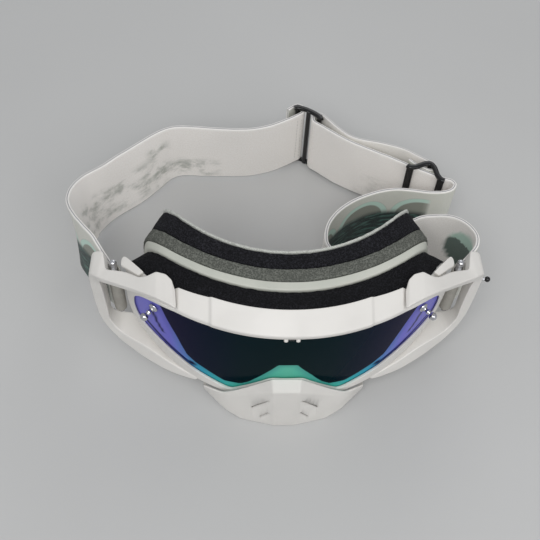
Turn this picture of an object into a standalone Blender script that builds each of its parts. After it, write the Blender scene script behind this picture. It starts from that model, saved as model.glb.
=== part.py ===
"""Motorcycle goggles: framed mirror lens, layered face foam, nose guard, outriggers and strap.

Metres, +Z up. The lens faces -Y and the head goes in from +Y. The model is symmetric about
X = 0 except for the strap's lie and the one outrigger post. The origin is on the flat
underside of the nose guard, in the symmetry plane.
"""

import math

import bpy
import bmesh
from mathutils import Vector

MM = 0.001
GAP = 0.3                      # clearance between pieces that touch
FOAM_GAP = 0.9                 # the same, along Y, between the curved foam layers

# Lens: a cylinder about an upright axis, leaning forward at the top
LENS_RADIUS = 98.0
LENS_LEAN = 0.088              # forward travel for each unit of height
LENS_LEAN_TOP = 92.0           # height at which the lens front is at Y = 0
LENS_THICK = 0.9
LENS_TUCK = 1.4                # how far the lens edge runs under the frame's lip
TEAR_OFF_PLACE = (62.5, 77.0)  # (x, z) of the tear-off post on the lens

# Face side: centre depth and plan radius of each layer's rear surface
FLANGE_REAR = (25.0, 86.0)
FLANGE_THICK = 4.5
GREY_REAR = (32.0, 82.0)
BLACK_REAR = (41.0, 71.5)
FLEECE_REAR = (42.4, 71.0)

# Strap
STRAP_WIDTH = 43.0
STRAP_THICK = 2.0
PIN_X, PIN_Y = 83.0, 45.8
PIN_RADIUS = 1.5
PIN_FOOT = 34.0
SLEEVE_INNER, SLEEVE_OUTER = 1.58, 3.8
SLEEVE_LOW, SLEEVE_HIGH = 37.4, 76.0
RING_HEIGHT = 48.0
RING_BAR = 2.6
RING_RAIL = 2.0
RING_PITCH = 7.0               # bar to bar along the strap
SLIDER_PITCH = 9.0
SLIDER_BAR = 4.0               # width of the slider's end bars
STRAP_TOP = 45.4               # height of the strap's top edge where it stands on the ground

# Right half of each frame outline, from the top centre round to the bottom centre.
# Each point is (x, z, corner size); the lists run in step with each other.
LIP = [
    (0.0, 92.5, 0), (35.6, 91.3, 3), (36.8, 91.2, 3), (50.6, 89.7, 2), (52.4, 89.4, 2),
    (62.5, 85.0, 7), (69.0, 79.4, 7), (73.0, 71.0, 6), (74.0, 58.0, 6), (72.0, 47.0, 5),
    (61.8, 39.6, 4), (47.0, 27.6, 2), (27.5, 16.4, 3), (7.9, 40.4, 2), (0.0, 40.4, 0),
]
# (x, z, how far ahead of the lens, corner size)
FRAME_FRONT = [
    (0.0, 95.7, 1.9, 0), (35.6, 94.6, 1.9, 0.5), (36.9, 93.8, 1.1, 0.5),
    (50.6, 92.4, 1.1, 0.5), (52.6, 91.0, 1.1, 0.5), (65.0, 87.0, 1.6, 6),
    (73.0, 80.2, 2.0, 6), (77.0, 71.0, 2.0, 6), (77.9, 58.0, 2.0, 6), (76.4, 43.2, 2.2, 6),
    (65.6, 31.0, 2.6, 5), (49.0, 19.4, 3.0, 4), (26.8, 13.4, 3.0, 4), (7.4, 34.0, 1.2, 2),
    (0.0, 34.0, 1.2, 0),
]
# (x, z, how far behind the lens, corner size)
FRAME_REAR = [
    (0.0, 100.5, 10.0, 0), (35.6, 98.9, 10.6, 0.5), (36.9, 98.0, 10.4, 0.5),
    (50.6, 96.0, 9.4, 0.5), (52.6, 92.6, 9.0, 0.5), (65.0, 89.4, 7.5, 4),
    (75.0, 82.0, 9.6, 5), (78.2, 72.0, 9.6, 5), (78.4, 58.0, 9.0, 6), (77.0, 42.8, 9.0, 6),
    (66.0, 30.4, 9.0, 5), (49.4, 18.9, 9.0, 4), (26.6, 12.8, 9.0, 4), (6.6, 33.4, 9.0, 2),
    (0.0, 33.4, 9.0, 0),
]
LIP_GAP = 0.55                  # from the lens to the back of the frame's lip
FRAME_HOLLOW = 0.7             # share of the way from the lip out to the rear edge that is hollow
INNER_LAND = 2.2               # width of the inner frame's edge behind the lens
WALL_ROOT = 0.45               # share of the flange's width, from outside, that lies beyond its wall

FLANGE_OUTER = [
    (0.0, 97.5, 0), (30.0, 97.0, 9), (48.0, 95.0, 7), (60.0, 91.0, 6), (67.0, 83.0, 6),
    (69.5, 72.0, 6), (70.0, 58.0, 6), (67.0, 45.0, 6), (57.0, 33.5, 6), (45.0, 27.0, 6),
    (29.0, 27.0, 6), (12.0, 46.0, 5), (0.0, 50.0, 0),
]
FLANGE_INNER = [
    (0.0, 88.0, 0), (29.0, 87.5, 8), (45.0, 85.5, 6), (53.0, 82.5, 5), (57.5, 77.5, 5),
    (59.0, 70.0, 5), (59.0, 58.0, 5), (56.5, 49.0, 5), (50.0, 41.5, 4), (42.0, 37.0, 4),
    (33.0, 38.0, 4), (20.0, 52.5, 5), (0.0, 59.0, 0),
]
FACE_OUTER = [
    (0.0, 96.0, 0), (30.0, 95.5, 9), (45.0, 93.8, 7), (54.0, 90.5, 6), (59.0, 83.0, 6),
    (61.0, 72.0, 6), (61.0, 58.0, 6), (58.5, 46.5, 6), (51.0, 37.0, 6), (42.0, 32.5, 6),
    (30.0, 33.0, 6), (14.0, 49.0, 5), (0.0, 53.0, 0),
]

VENT_THICK = 1.7
VENT_INSET = 1.0               # from the outlines of frame and flange to the foam's outside
VENT_TOP_END = 16              # outline points from the top centre to the top foam's end
VENT_LOW_START = 24            # outline points from the top centre to the lower foam's start

# Outrigger, right side. Each station is (outer point, inner point, step to its rear edge).
OUTRIGGER = [
    ((51.4, 12.6, 95.0), (51.4, 12.9, 93.6), (0.6, 9.6)),
    ((53.0, 13.4, 96.0), (53.0, 13.8, 93.5), (0.8, 13.8)),
    ((56.0, 15.2, 96.0), (56.0, 15.7, 93.2), (0.5, 14.9)),
    ((60.6, 18.0, 95.4), (60.6, 18.6, 92.0), (0.4, 13.8)),
    ((66.4, 21.9, 93.0), (66.4, 22.6, 88.9), (-1.0, 8.9)),
    ((72.0, 25.6, 90.4), (72.0, 26.5, 85.4), (-3.0, 6.2)),
    ((80.0, 30.8, 86.2), (79.6, 31.6, 81.0), (-3.6, 6.6)),
    ((88.0, 35.8, 82.6), (86.8, 35.8, 77.8), (-2.2, 5.0)),
    ((90.4, 37.4, 81.6), (88.6, 36.9, 76.9), (-2.4, 14.4)),
    ((94.2, 40.6, 78.6), (89.6, 38.6, 73.6), (-0.6, 12.4)),
    ((95.2, 42.2, 71.0), (89.2, 39.2, 69.0), (-0.8, 7.2)),
    ((95.0, 42.2, 50.0), (88.6, 39.2, 50.0), (-0.8, 6.8)),
    ((93.8, 41.2, 36.0), (88.4, 38.4, 36.8), (-0.6, 6.8)),
    ((90.6, 38.8, 28.2), (84.6, 36.0, 30.5), (-1.8, 10.6)),
    ((84.0, 33.8, 23.2), (78.6, 31.8, 30.0), (-2.0, 14.6)),
    ((72.0, 26.2, 18.2), (69.6, 27.0, 28.2), (-3.0, 7.6)),
    ((60.0, 19.6, 15.4), (58.6, 20.8, 22.6), (-3.0, 6.0)),
    ((50.0, 15.6, 14.2), (49.0, 16.2, 17.4), (-2.4, 5.0)),
]
# Side fin, right side: (inner edge, outer edge) of its top face, from its root to its tip
SIDE_FIN = [
    ((67.0, 34.6, 90.2), (69.6, 33.4, 89.0)), ((71.0, 39.0, 89.4), (76.0, 39.6, 85.6)),
    ((75.0, 43.6, 87.8), (78.6, 41.6, 84.6)), ((76.9, 45.6, 86.6), (78.4, 44.6, 85.2)),
]
SIDE_FIN_THICK = 1.6

# Nose guard, right half. Each column is (top edge, crease, bottom edge, (rearward, down)
# step from the top edge to the wall's inner face).
GUARD_COLUMNS = [
    ((7.2, 2.7, 41.8), (6.6, -2.6, 37.3), (5.0, -4.3, 0.0), (0.1, 1.7)),
    ((24.2, 5.0, 24.2), (22.4, 3.2, 20.4), (22.0, -0.4, 0.0), (0.8, 0.6)),
    ((31.6, 6.4, 17.0), (31.4, 6.2, 16.0), (30.0, 3.6, 2.4), (1.2, 0.2)),
    ((41.0, 11.6, 14.6), (41.2, 11.8, 13.6), (41.4, 13.0, 9.0), (1.2, 0.2)),
]
GUARD_WALL = 1.9
GUARD_LEDGE = 8.0
# Vent slots, right half: (x, z) of each end on the guard's side facet
SLOT_WIDTH = 1.3
GUARD_SLOTS = [((8.2, 26.4), (16.6, 14.2)), ((8.0, 13.4), (12.2, 6.8))]

# Strap centre line: (x, y, height of the top edge, outward lean of the top edge)
STRAP_LEFT_ROUTE = [
    (-86.0, 51.2, 72.6, 0.0), (-89.4, 56.6, 73.2, -2.0), (-94.8, 66.5, 72.0, -4.0),
    (-100.5, 74.6, 69.2, -4.0), (-106.0, 83.0, 65.6, -2.0), (-110.4, 92.2, 60.6, 5.0),
    (-112.4, 101.0, 56.2, 10.0), (-111.8, 110.0, 52.4, 10.0), (-107.6, 118.8, 49.0, 8.5),
    (-98.2, 128.4, 46.4, 6.5), (-89.5, 136.2, 45.6, 6.5), (-80.8, 143.3, 45.4, 6.5),
    (-71.9, 150.4, 45.4, 5.0), (-65.0, 154.8, 45.4, 2.8), (-58.0, 156.9, 45.4, 1.8),
    (-50.0, 157.0, 45.4, 1.5), (-39.6, 156.2, 45.4, 1.0), (-26.0, 155.4, 45.4, 0.3),
    (-15.5, 155.7, 45.4, 0.0), (-6.0, 157.9, 45.4, 0.0), (2.6, 161.9, 45.4, 0.0),
]
STRAP_RIGHT_ROUTE = [
    (86.0, 51.0, 72.6, 0.0), (90.4, 54.8, 73.2, 0.0), (94.2, 60.4, 72.8, 0.0),
    (95.6, 67.0, 71.4, 0.0), (93.6, 74.4, 69.2, 0.0), (88.9, 80.6, 66.5, 0.0),
    (83.0, 84.2, 64.0, 0.0), (77.0, 85.9, 61.6, 0.0), (70.9, 86.2, 60.0, 0.0),
    (63.0, 83.8, 56.8, 0.0), (54.0, 79.6, 53.0, 0.0), (44.0, 75.2, 49.6, 0.0),
    (35.0, 72.6, 47.4, 0.0), (27.6, 73.6, 46.2, 0.0), (23.4, 78.2, 45.8, 0.0),
    (22.8, 84.0, 45.6, 0.0), (24.3, 90.8, 45.4, 0.0), (28.4, 97.5, 45.4, 0.0),
    (34.5, 103.4, 45.4, 0.0), (41.4, 108.0, 45.4, 0.0), (49.1, 111.6, 45.4, 0.0),
    (56.8, 113.7, 45.4, 0.0), (64.0, 114.3, 45.4, 0.0), (72.7, 113.5, 45.4, 0.0),
    (81.0, 112.5, 45.4, 0.0), (89.4, 113.0, 45.4, 0.0), (93.8, 114.9, 45.4, 0.0),
    (95.3, 118.0, 45.4, 0.0), (93.2, 120.6, 45.4, 0.0), (88.8, 121.7, 45.4, 0.0),
    (84.4, 124.0, 45.4, 0.0), (71.8, 130.6, 45.4, 0.0), (52.1, 140.9, 45.4, 0.0),
    (39.6, 147.4, 45.4, 0.0), (30.0, 154.0, 45.4, 0.0),
]
STRAP_RETURN_ROUTE = [
    (29.5, 161.6, 45.4, 0.0), (33.3, 157.2, 45.4, 0.0), (39.5, 151.6, 45.4, 0.0),
    (46.5, 148.6, 45.4, 0.0), (57.0, 146.2, 45.4, 0.0),
]
# The straight run that the slider travels along, and the slider's place on it
SLIDER_AT = (80.7, 126.0)
SLIDER_RUN = (-0.886, 0.464)   # unit direction towards the ring
RING_AT = (17.0, 167.0)
RING_RUN = (0.87, -0.493)      # unit direction from the left strap to the right strap
LOOP_RUN = (0.841, 0.541)      # unit direction in which the left strap meets the ring
LOOP_RADIUS = 3.4              # of the straps' turns round the ring's bars


# ---------------------------------------------------------------- materials

def material(name, colour, roughness, metallic=0.0):
    made = bpy.data.materials.new(name)
    made.use_nodes = True
    shader = made.node_tree.nodes["Principled BSDF"]
    shader.inputs["Base Color"].default_value = (*colour, 1.0)
    shader.inputs["Roughness"].default_value = roughness
    shader.inputs["Metallic"].default_value = metallic
    made.diffuse_color = (*colour, 1.0)
    return made


# ---------------------------------------------------------------- geometry helpers

def lens_y(x, z):
    """Depth of the lens's front surface."""
    arc = LENS_RADIUS - math.sqrt(LENS_RADIUS ** 2 - x * x)
    return LENS_LEAN * (LENS_LEAN_TOP - z) + arc


def rear_y(layer, x):
    """Depth of a face-side surface given as (centre depth, plan radius)."""
    centre, radius = layer
    return centre + radius - math.sqrt(radius * radius - x * x)


def add_object(name, verts, faces, look, smooth_angle=None):
    """Make one closed object from millimetre vertices."""
    mesh = bpy.data.meshes.new(name)
    mesh.from_pydata([Vector(v) * MM for v in verts], [], faces)
    mesh.materials.append(look)
    work = bmesh.new()
    work.from_mesh(mesh)
    bmesh.ops.recalc_face_normals(work, faces=work.faces)
    if work.calc_volume(signed=True) < 0:
        bmesh.ops.reverse_faces(work, faces=work.faces)
    work.to_mesh(mesh)
    work.free()
    if smooth_angle:
        mesh.shade_smooth()
        mesh.set_sharp_from_angle(angle=math.radians(smooth_angle))
    made = bpy.data.objects.new(name, mesh)
    bpy.context.scene.collection.objects.link(made)
    return made


def run_steps_of(keys, longest=9.5):
    """How many steps each straight run of an outline is cut into."""
    runs = zip(keys, keys[1:])
    return [max(1, math.ceil(math.dist(a[:2], b[:2]) / longest)) for a, b in runs]


def corner_path(keys, arc_steps, run_steps):
    """Points along a polyline whose corners are rounded. A key is (..., corner size)."""
    points = [Vector(k[:-1]) for k in keys]
    sizes = [k[-1] for k in keys]
    path = [points[0]]
    for i in range(1, len(points)):
        start = path[-1]
        if i < len(points) - 1:
            back = points[i - 1] - points[i]
            ahead = points[i + 1] - points[i]
            reach = min(sizes[i], 0.45 * back.length, 0.45 * ahead.length)
            enter = points[i] + back.normalized() * reach
            leave = points[i] + ahead.normalized() * reach
        else:
            enter = leave = points[i]
        for k in range(1, run_steps[i - 1] + 1):
            path.append(start.lerp(enter, k / run_steps[i - 1]))
        if i < len(points) - 1:
            for k in range(1, arc_steps + 1):
                t = k / arc_steps
                path.append(enter.lerp(points[i], t).lerp(points[i].lerp(leave, t), t))
    return path


def closed_outline(keys, master, arc_steps=1):
    """Right-half keys made into a full loop by mirroring in X, sampled as the master is."""
    right = corner_path(keys, arc_steps, run_steps_of(master))
    left = []
    for p in reversed(right[1:-1]):
        q = p.copy()
        q[0] = -q[0]
        left.append(q)
    return right + left


def inset(loop, distance):
    """Move an (x, z, ...) loop inward by a distance, across its own direction."""
    moved = []
    count = len(loop)
    for i, p in enumerate(loop):
        before, after = loop[i - 1], loop[(i + 1) % count]
        along = Vector((after[0] - before[0], after[1] - before[1]))
        along.normalize()
        q = p.copy()
        q[0] += along[1] * distance
        q[1] -= along[0] * distance
        moved.append(q)
    return moved


def loft_ring(name, corners, look, smooth_angle=35):
    """A closed ring: corners is a list of loops, one for each corner of its section."""
    count, sides = len(corners[0]), len(corners)
    verts = [p for loop in corners for p in loop]
    faces = []
    for k in range(sides):
        n = (k + 1) % sides
        for i in range(count):
            j = (i + 1) % count
            faces.append((k * count + i, k * count + j, n * count + j, n * count + i))
    return add_object(name, verts, faces, look, smooth_angle)


def loft_bar(name, sections, look, smooth_angle=35):
    """An open bar: sections is a list of equal polygons, capped at both ends."""
    sides = len(sections[0])
    verts = [p for section in sections for p in section]
    faces = []
    for i in range(len(sections) - 1):
        for k in range(sides):
            n = (k + 1) % sides
            faces.append((i * sides + k, i * sides + n, (i + 1) * sides + n, (i + 1) * sides + k))
    faces.append(tuple(range(sides)))
    last = (len(sections) - 1) * sides
    faces.append(tuple(last + k for k in reversed(range(sides))))
    return add_object(name, verts, faces, look, smooth_angle)


def turned(name, profile, base, axis, look, segments=16):
    """A turned piece: profile is (radius, distance along the axis), ends on the axis."""
    axis = Vector(axis).normalized()
    across = axis.orthogonal().normalized()
    other = axis.cross(across)
    base = Vector(base)
    verts, rings = [], []
    for radius, along in profile:
        centre = base + axis * along
        if radius == 0:
            rings.append([len(verts)])
            verts.append(centre)
            continue
        ring = []
        for k in range(segments):
            turn = 2 * math.pi * k / segments
            ring.append(len(verts))
            verts.append(centre + (across * math.cos(turn) + other * math.sin(turn)) * radius)
        rings.append(ring)
    faces = []
    for low, high in zip(rings, rings[1:]):
        for k in range(segments):
            n = (k + 1) % segments
            if len(low) == 1:
                faces.append((low[0], high[k], high[n]))
            elif len(high) == 1:
                faces.append((low[k], low[n], high[0]))
            else:
                faces.append((low[k], low[n], high[n], high[k]))
    return add_object(name, verts, faces, look, 40)


def smooth_route(points, spacing):
    """A smooth curve through the points, sampled at about the given spacing."""
    count = len(points)
    path = []
    for i in range(count - 1):
        p1, p2 = Vector(points[i]), Vector(points[i + 1])
        p0 = Vector(points[i - 1]) if i else p1 * 2 - p2
        p3 = Vector(points[i + 2]) if i + 2 < count else p2 * 2 - p1
        steps = max(1, round((p2 - p1).length / spacing))
        for k in range(steps):
            t = k / steps
            path.append(0.5 * (2 * p1 + (p2 - p0) * t + (2 * p0 - 5 * p1 + 4 * p2 - p3) * t ** 2
                               + (3 * p1 - p0 - 3 * p2 + p3) * t ** 3))
    path.append(Vector(points[-1]))
    return path


def ribbon_sections(path, width, thick):
    """Upright ribbon sections along a path of (x, y, top height, outward lean)."""
    sections = []
    for i, p in enumerate(path):
        before, after = path[max(i - 1, 0)], path[min(i + 1, len(path) - 1)]
        along = Vector((after[0] - before[0], after[1] - before[1], 0)).normalized()
        side = Vector((-along[1], along[0], 0)) * thick / 2
        outward = Vector((-along[1], along[0], 0))
        if outward.dot(Vector((p[0], p[1] - 60, 0))) < 0:
            outward = -outward
        fall = math.sqrt(width * width - p[3] * p[3])
        top = Vector((p[0], p[1], p[2]))
        low = top - outward * p[3] - Vector((0, 0, fall))
        sections.append([top + side, top - side, low - side, low + side])
    return sections


# ---------------------------------------------------------------- frame pieces

def frame_loops():
    """The frame's outlines in space, sampled in step."""
    return [closed_outline(keys, LIP) for keys in (LIP, FRAME_FRONT, FRAME_REAR)]


def make_front_frame(look):
    lip, front, rear = frame_loops()
    groove = inset(lip, -(LENS_TUCK + GAP))
    corners = [[], [], [], [], [], []]
    for p, f, r, g in zip(lip, front, rear, groove):
        w = p.lerp(r, FRAME_HOLLOW)
        ahead = 1.1 + 0.3 * f[2]
        corners[0].append((p[0], lens_y(p[0], p[1]) - ahead, p[1]))
        corners[1].append((f[0], lens_y(f[0], f[1]) - f[2], f[1]))
        corners[2].append((r[0], lens_y(r[0], r[1]) + r[2], r[1]))
        corners[3].append((w[0], lens_y(r[0], r[1]) + r[2], w[1]))
        corners[4].append((g[0], lens_y(g[0], g[1]) - LIP_GAP, g[1]))
        corners[5].append((p[0], lens_y(p[0], p[1]) - LIP_GAP, p[1]))
    return loft_ring("front_frame", corners, look)


def make_lens(look):
    """A shell between the lens's front and rear surfaces, in upright strips."""
    edge = inset(closed_outline(LIP, LIP), -LENS_TUCK)
    half = len(edge) // 2
    right = edge[:half + 1]
    widest = max(range(len(right)), key=lambda i: right[i][0])
    top, low = right[:widest + 1], list(reversed(right[widest:]))

    def height(line, x):
        for a, b in zip(line, line[1:]):
            if a[0] <= x <= b[0]:
                share = (x - a[0]) / max(b[0] - a[0], 1e-9)
                return a[1] + (b[1] - a[1]) * share
        return line[-1][1]

    reach = right[widest][0]
    stations = sorted({round(p[0], 3) for p in top + low if p[0] < reach - 0.4} | {0.0})
    columns = []
    for x in [-s for s in reversed(stations) if s > 0] + stations:
        columns.append((x, height(top, abs(x)), height(low, abs(x))))
    tip = right[widest]
    columns = [(-tip[0], tip[1] + 2.0, tip[1] - 2.0)] + columns + [(tip[0], tip[1] + 2.0, tip[1] - 2.0)]
    sections = []
    for x, high, bottom in columns:
        sections.append([
            (x, lens_y(x, high), high), (x, lens_y(x, bottom), bottom),
            (x, lens_y(x, bottom) + LENS_THICK, bottom), (x, lens_y(x, high) + LENS_THICK, high),
        ])
    return loft_bar("lens", sections, look)


def without_brow_steps(keys):
    """The outline without the brow's small steps, so that it runs in step with the flange."""
    return [keys[0], keys[2]] + keys[4:]


def make_inner_frame(look):
    """Wall behind the lens that runs back to the flange for the face foam."""
    lip = closed_outline(without_brow_steps(LIP), FLANGE_OUTER)
    outer = closed_outline(FLANGE_OUTER, FLANGE_OUTER)
    inner = closed_outline(FLANGE_INNER, FLANGE_OUTER)
    ahead = LENS_THICK + GAP
    corners = [[], [], [], [], [], []]
    for p, o, i in zip(lip, outer, inner):
        n = p + (i - p).normalized() * INNER_LAND
        w = o.lerp(i, WALL_ROOT)
        corners[0].append((n[0], lens_y(n[0], n[1]) + ahead, n[1]))
        corners[1].append((p[0], lens_y(p[0], p[1]) + ahead, p[1]))
        corners[2].append((w[0], rear_y(FLANGE_REAR, w[0]) - FLANGE_THICK, w[1]))
        corners[3].append((o[0], rear_y(FLANGE_REAR, o[0]) - FLANGE_THICK, o[1]))
        corners[4].append((o[0], rear_y(FLANGE_REAR, o[0]), o[1]))
        corners[5].append((i[0], rear_y(FLANGE_REAR, i[0]), i[1]))
    return loft_ring("inner_frame", corners, look)


def make_foam_layer(name, front, rear, front_share, rear_share, look):
    """One layer of the face foam; a share of 0 has the flange's outline, 1 the face's."""
    flange, face, hole = [
        closed_outline(keys, FLANGE_OUTER) for keys in (FLANGE_OUTER, FACE_OUTER, FLANGE_INNER)]
    corners = [[], [], [], []]
    for a, b, h in zip(flange, face, hole):
        f, r = a.lerp(b, front_share), a.lerp(b, rear_share)
        corners[0].append((h[0], rear_y(front, h[0]) + FOAM_GAP, h[1]))
        corners[1].append((f[0], rear_y(front, f[0]) + FOAM_GAP, f[1]))
        corners[2].append((r[0], rear_y(rear, r[0]), r[1]))
        corners[3].append((h[0], rear_y(rear, h[0]), h[1]))
    return loft_ring(name, corners, look)


def make_vent_foam(name, top, look):
    """Open-cell foam strip between the frame's rear edge and the flange."""
    lip, rear, flange, hole = [
        closed_outline(keys, FLANGE_OUTER) for keys in (
            without_brow_steps(LIP), without_brow_steps(FRAME_REAR), FLANGE_OUTER, FLANGE_INNER)]
    count = len(rear)
    order = range(-VENT_TOP_END, VENT_TOP_END + 1)
    if not top:
        order = range(VENT_LOW_START, count - VENT_LOW_START + 1)
    sections = []
    for i in order:
        p, r, o, h = [loop[i % count] for loop in (lip, rear, flange, hole)]
        frame_y = lens_y(r[0], r[1]) + r[2] + 0.5
        at_frame = Vector((p[0] - r[0], p[1] - r[1])).normalized()
        at_flange = (h - o).normalized()
        outside, inside = VENT_INSET, VENT_INSET + VENT_THICK
        section = []
        for depth in (outside, inside):
            x, z = o + at_flange * depth
            section.append((x, rear_y(FLANGE_REAR, x) - FLANGE_THICK - 0.7, z))
        for depth in (inside, outside):
            section.append((r[0] + at_frame[0] * depth, frame_y, r[1] + at_frame[1] * depth))
        sections.append(section)
    return loft_bar(name, sections, look)


# ---------------------------------------------------------------- outriggers and posts

def make_outrigger(side, look):
    sections = []
    for outer, inner, step in OUTRIGGER:
        p, q, back = Vector(outer), Vector(inner), Vector((*step, 0))
        corners = [p, p + back, q + back, q]
        sections.append([Vector((c[0] * side, c[1], c[2])) for c in corners])
    return loft_bar(sided("outrigger", side), sections, look)


def make_side_fin(side, look):
    """Blade over the frame's shoulder, behind the outrigger's link."""
    drop = Vector((0, 0, SIDE_FIN_THICK))
    sections = []
    for inner, outer in SIDE_FIN:
        inner, outer = Vector(inner), Vector(outer)
        corners = [inner - drop, inner, outer, outer - drop]
        sections.append([(c[0] * side, c[1], c[2]) for c in corners])
    return loft_bar(sided("side_fin", side), sections, look)


def sided(name, side):
    return name + ("_right" if side > 0 else "_left")


def make_strap_pin(side, look):
    profile = [
        (0, 0), (PIN_RADIUS, 0), (PIN_RADIUS, 43.0), (1.8, 43.0), (1.9, 44.0), (1.8, 46.0),
        (1.1, 47.0), (0, 47.2),
    ]
    return turned(sided("strap_pin", side), profile, (PIN_X * side, PIN_Y, PIN_FOOT), (0, 0, 1), look)


def make_end_loop(side, look):
    """Webbing sleeve that turns on the strap pin."""
    segments = 20
    corners = []
    for radius, height in (
        (SLEEVE_INNER, SLEEVE_LOW), (SLEEVE_OUTER, SLEEVE_LOW),
        (SLEEVE_OUTER, SLEEVE_HIGH), (SLEEVE_INNER, SLEEVE_HIGH),
    ):
        loop = []
        for k in range(segments):
            turn = 2 * math.pi * k / segments
            loop.append((radius * math.cos(turn), radius * math.sin(turn), height))
        corners.append(loop)
    made = loft_ring(sided("strap_end_loop", side), corners, look, 40)
    made.location = (PIN_X * side * MM, PIN_Y * MM, 0)
    return made


def make_tear_off_post(side, look):
    x, z = TEAR_OFF_PLACE
    lean = math.asin(x / LENS_RADIUS)
    normal = (math.sin(lean) * side, -math.cos(lean), 0)
    profile = [(0, 0.6), (2.4, 0.6), (2.2, 1.5), (1.1, 1.9), (1.1, 6.2), (2.0, 7.0), (2.0, 8.2),
               (1.1, 9.2), (0, 9.4)]
    base = (x * side, lens_y(x, z) - 0.1, z)
    return turned(sided("tear_off_post", side), profile, base, normal, look, 12)


def make_outrigger_post(look):
    profile = [(0, 0), (0.8, 0), (0.8, 1.6), (1.5, 2.1), (1.5, 3.6), (0.9, 4.5), (0, 4.7)]
    return turned("outrigger_post", profile, (95.3, 44.4, 67.4), (1, -0.1, 0), look, 12)


def make_lens_pegs(look, dark):
    for side, name in ((-1, "lens_peg_left"), (1, "lens_peg_right")):
        x = 2.7 * side
        turned(name, [(0, 0), (1.0, 0), (1.0, 1.7), (0, 1.9)], (x, -0.3, 91.2), (0, -1, 0), look, 10)
    sections = []
    for x in (-1.35, 1.35):
        sections.append([(x, -0.4, 90.7), (x, -1.5, 90.7), (x, -1.5, 91.9), (x, -0.4, 91.9)])
    loft_bar("lens_peg_bar", sections, dark, None)


# ---------------------------------------------------------------- nose guard

def make_nose_guard(look):
    sections = []
    for side in (-1, 1):
        columns = GUARD_COLUMNS if side > 0 else list(reversed(GUARD_COLUMNS))
        for top, crease, low, (rearward, down) in columns:
            flat = low[2] < 1.0
            ledge = GUARD_LEDGE if flat else 3.0
            w = GUARD_WALL if top[0] < 20 else GUARD_WALL * 0.62
            points = [
                low, crease, top,
                (top[0], top[1] + rearward, top[2] - down),
                (crease[0], crease[1] + w, crease[2] - 0.6),
                (low[0], low[1] + w, low[2] + 2.0),
                (low[0], low[1] + ledge, low[2] + 2.0),
                (low[0], low[1] + ledge, low[2]),
            ]
            sections.append([(p[0] * side, p[1], p[2]) for p in points])
    guard = loft_bar("nose_guard", sections, look, 12)
    triangulate(guard)
    cut_slots(guard)
    return guard


def triangulate(target):
    """Split bent faces into flat triangles, which a Boolean needs."""
    work = bmesh.new()
    work.from_mesh(target.data)
    bmesh.ops.triangulate(work, faces=work.faces)
    work.to_mesh(target.data)
    work.free()


def cut_slots(target):
    """Cut the long vent slots through the guard's side facets."""
    verts, faces = [], []
    for start, end in GUARD_SLOTS:
        for side in (-1, 1):
            a = Vector((start[0] * side, 0, start[1]))
            b = Vector((end[0] * side, 0, end[1]))
            across = (b - a).cross(Vector((0, 1, 0))).normalized() * SLOT_WIDTH / 2
            first = len(verts)
            for y in (-14.0, 8.5):
                shift = Vector((0, y, 0))
                verts += [a - across + shift, b - across + shift, b + across + shift, a + across + shift]
            for k in range(4):
                n = (k + 1) % 4
                faces.append((first + k, first + n, first + 4 + n, first + 4 + k))
            faces.append((first, first + 3, first + 2, first + 1))
            faces.append((first + 4, first + 5, first + 6, first + 7))
    cutter = add_object("slot_cutter", verts, faces, target.data.materials[0])
    cutter.hide_render = True
    cutter.display_type = "WIRE"
    cut = target.modifiers.new("slots", "BOOLEAN")
    cut.operation = "DIFFERENCE"
    cut.solver = "EXACT"
    cut.object = cutter


# ---------------------------------------------------------------- strap

def make_strap(name, route, look, spacing=7.0, width=STRAP_WIDTH, thick=STRAP_THICK):
    return loft_bar(name, ribbon_sections(smooth_route(route, spacing), width, thick), look, 50)


def along_frame(centre, run, along, across):
    """A plan point given along and across a strap fitting."""
    return (centre[0] + run[0] * along - run[1] * across, centre[1] + run[1] * along + run[0] * across)


def turn_round_bar(centre, run, bar_at, offset, radius, first, last, steps, top):
    """Route points of webbing that turns round a bar of a fitting."""
    points = []
    for k in range(steps + 1):
        turn = math.radians(first + (last - first) * k / steps)
        along = bar_at + radius * math.cos(turn)
        across = offset + radius * math.sin(turn)
        x, y = along_frame(centre, run, along, across)
        points.append((x, y, top, 0.0))
    return points


def fitting_frame(name, centre, run, bars, rail_across, look):
    """Upright fitting: bars of (place, width, across low, across high) joined by two rails."""
    place_cuts = sorted({p + s * width / 2 for p, width, _, _ in bars for s in (-1, 1)})
    across_cuts = sorted({c for bar in bars for c in bar[2:]} | set(rail_across))
    height_cuts = [0.0, RING_RAIL, RING_HEIGHT - RING_RAIL, RING_HEIGHT]

    def solid(i, j, k):
        if not (0 <= i < len(place_cuts) - 1 and 0 <= j < len(across_cuts) - 1 and 0 <= k < 3):
            return False
        if k != 1:
            return True
        place = (place_cuts[i] + place_cuts[i + 1]) / 2
        across = (across_cuts[j] + across_cuts[j + 1]) / 2
        return any(abs(place - p) < width / 2 and low < across < high for p, width, low, high in bars)

    verts, index, faces = [], {}, []

    def corner(i, j, k):
        if (i, j, k) not in index:
            index[i, j, k] = len(verts)
            x, y = along_frame(centre, run, place_cuts[i], across_cuts[j])
            verts.append((x, y, height_cuts[k]))
        return index[i, j, k]

    for i in range(len(place_cuts) - 1):
        for j in range(len(across_cuts) - 1):
            for k in range(3):
                if not solid(i, j, k):
                    continue
                for axis in range(3):
                    for step in (0, 1):
                        beside = [i, j, k]
                        beside[axis] += 2 * step - 1
                        if solid(*beside):
                            continue
                        face = []
                        for u, v in ((0, 0), (1, 0), (1, 1), (0, 1)):
                            at = [i, j, k]
                            at[axis] += step
                            at[(axis + 1) % 3] += u
                            at[(axis + 2) % 3] += v
                            face.append(corner(*at))
                        faces.append(tuple(face))
    return add_object(name, verts, faces, look)


# ---------------------------------------------------------------- build

def clear_scene():
    for old in list(bpy.data.objects):
        bpy.data.objects.remove(old, do_unlink=True)


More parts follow.
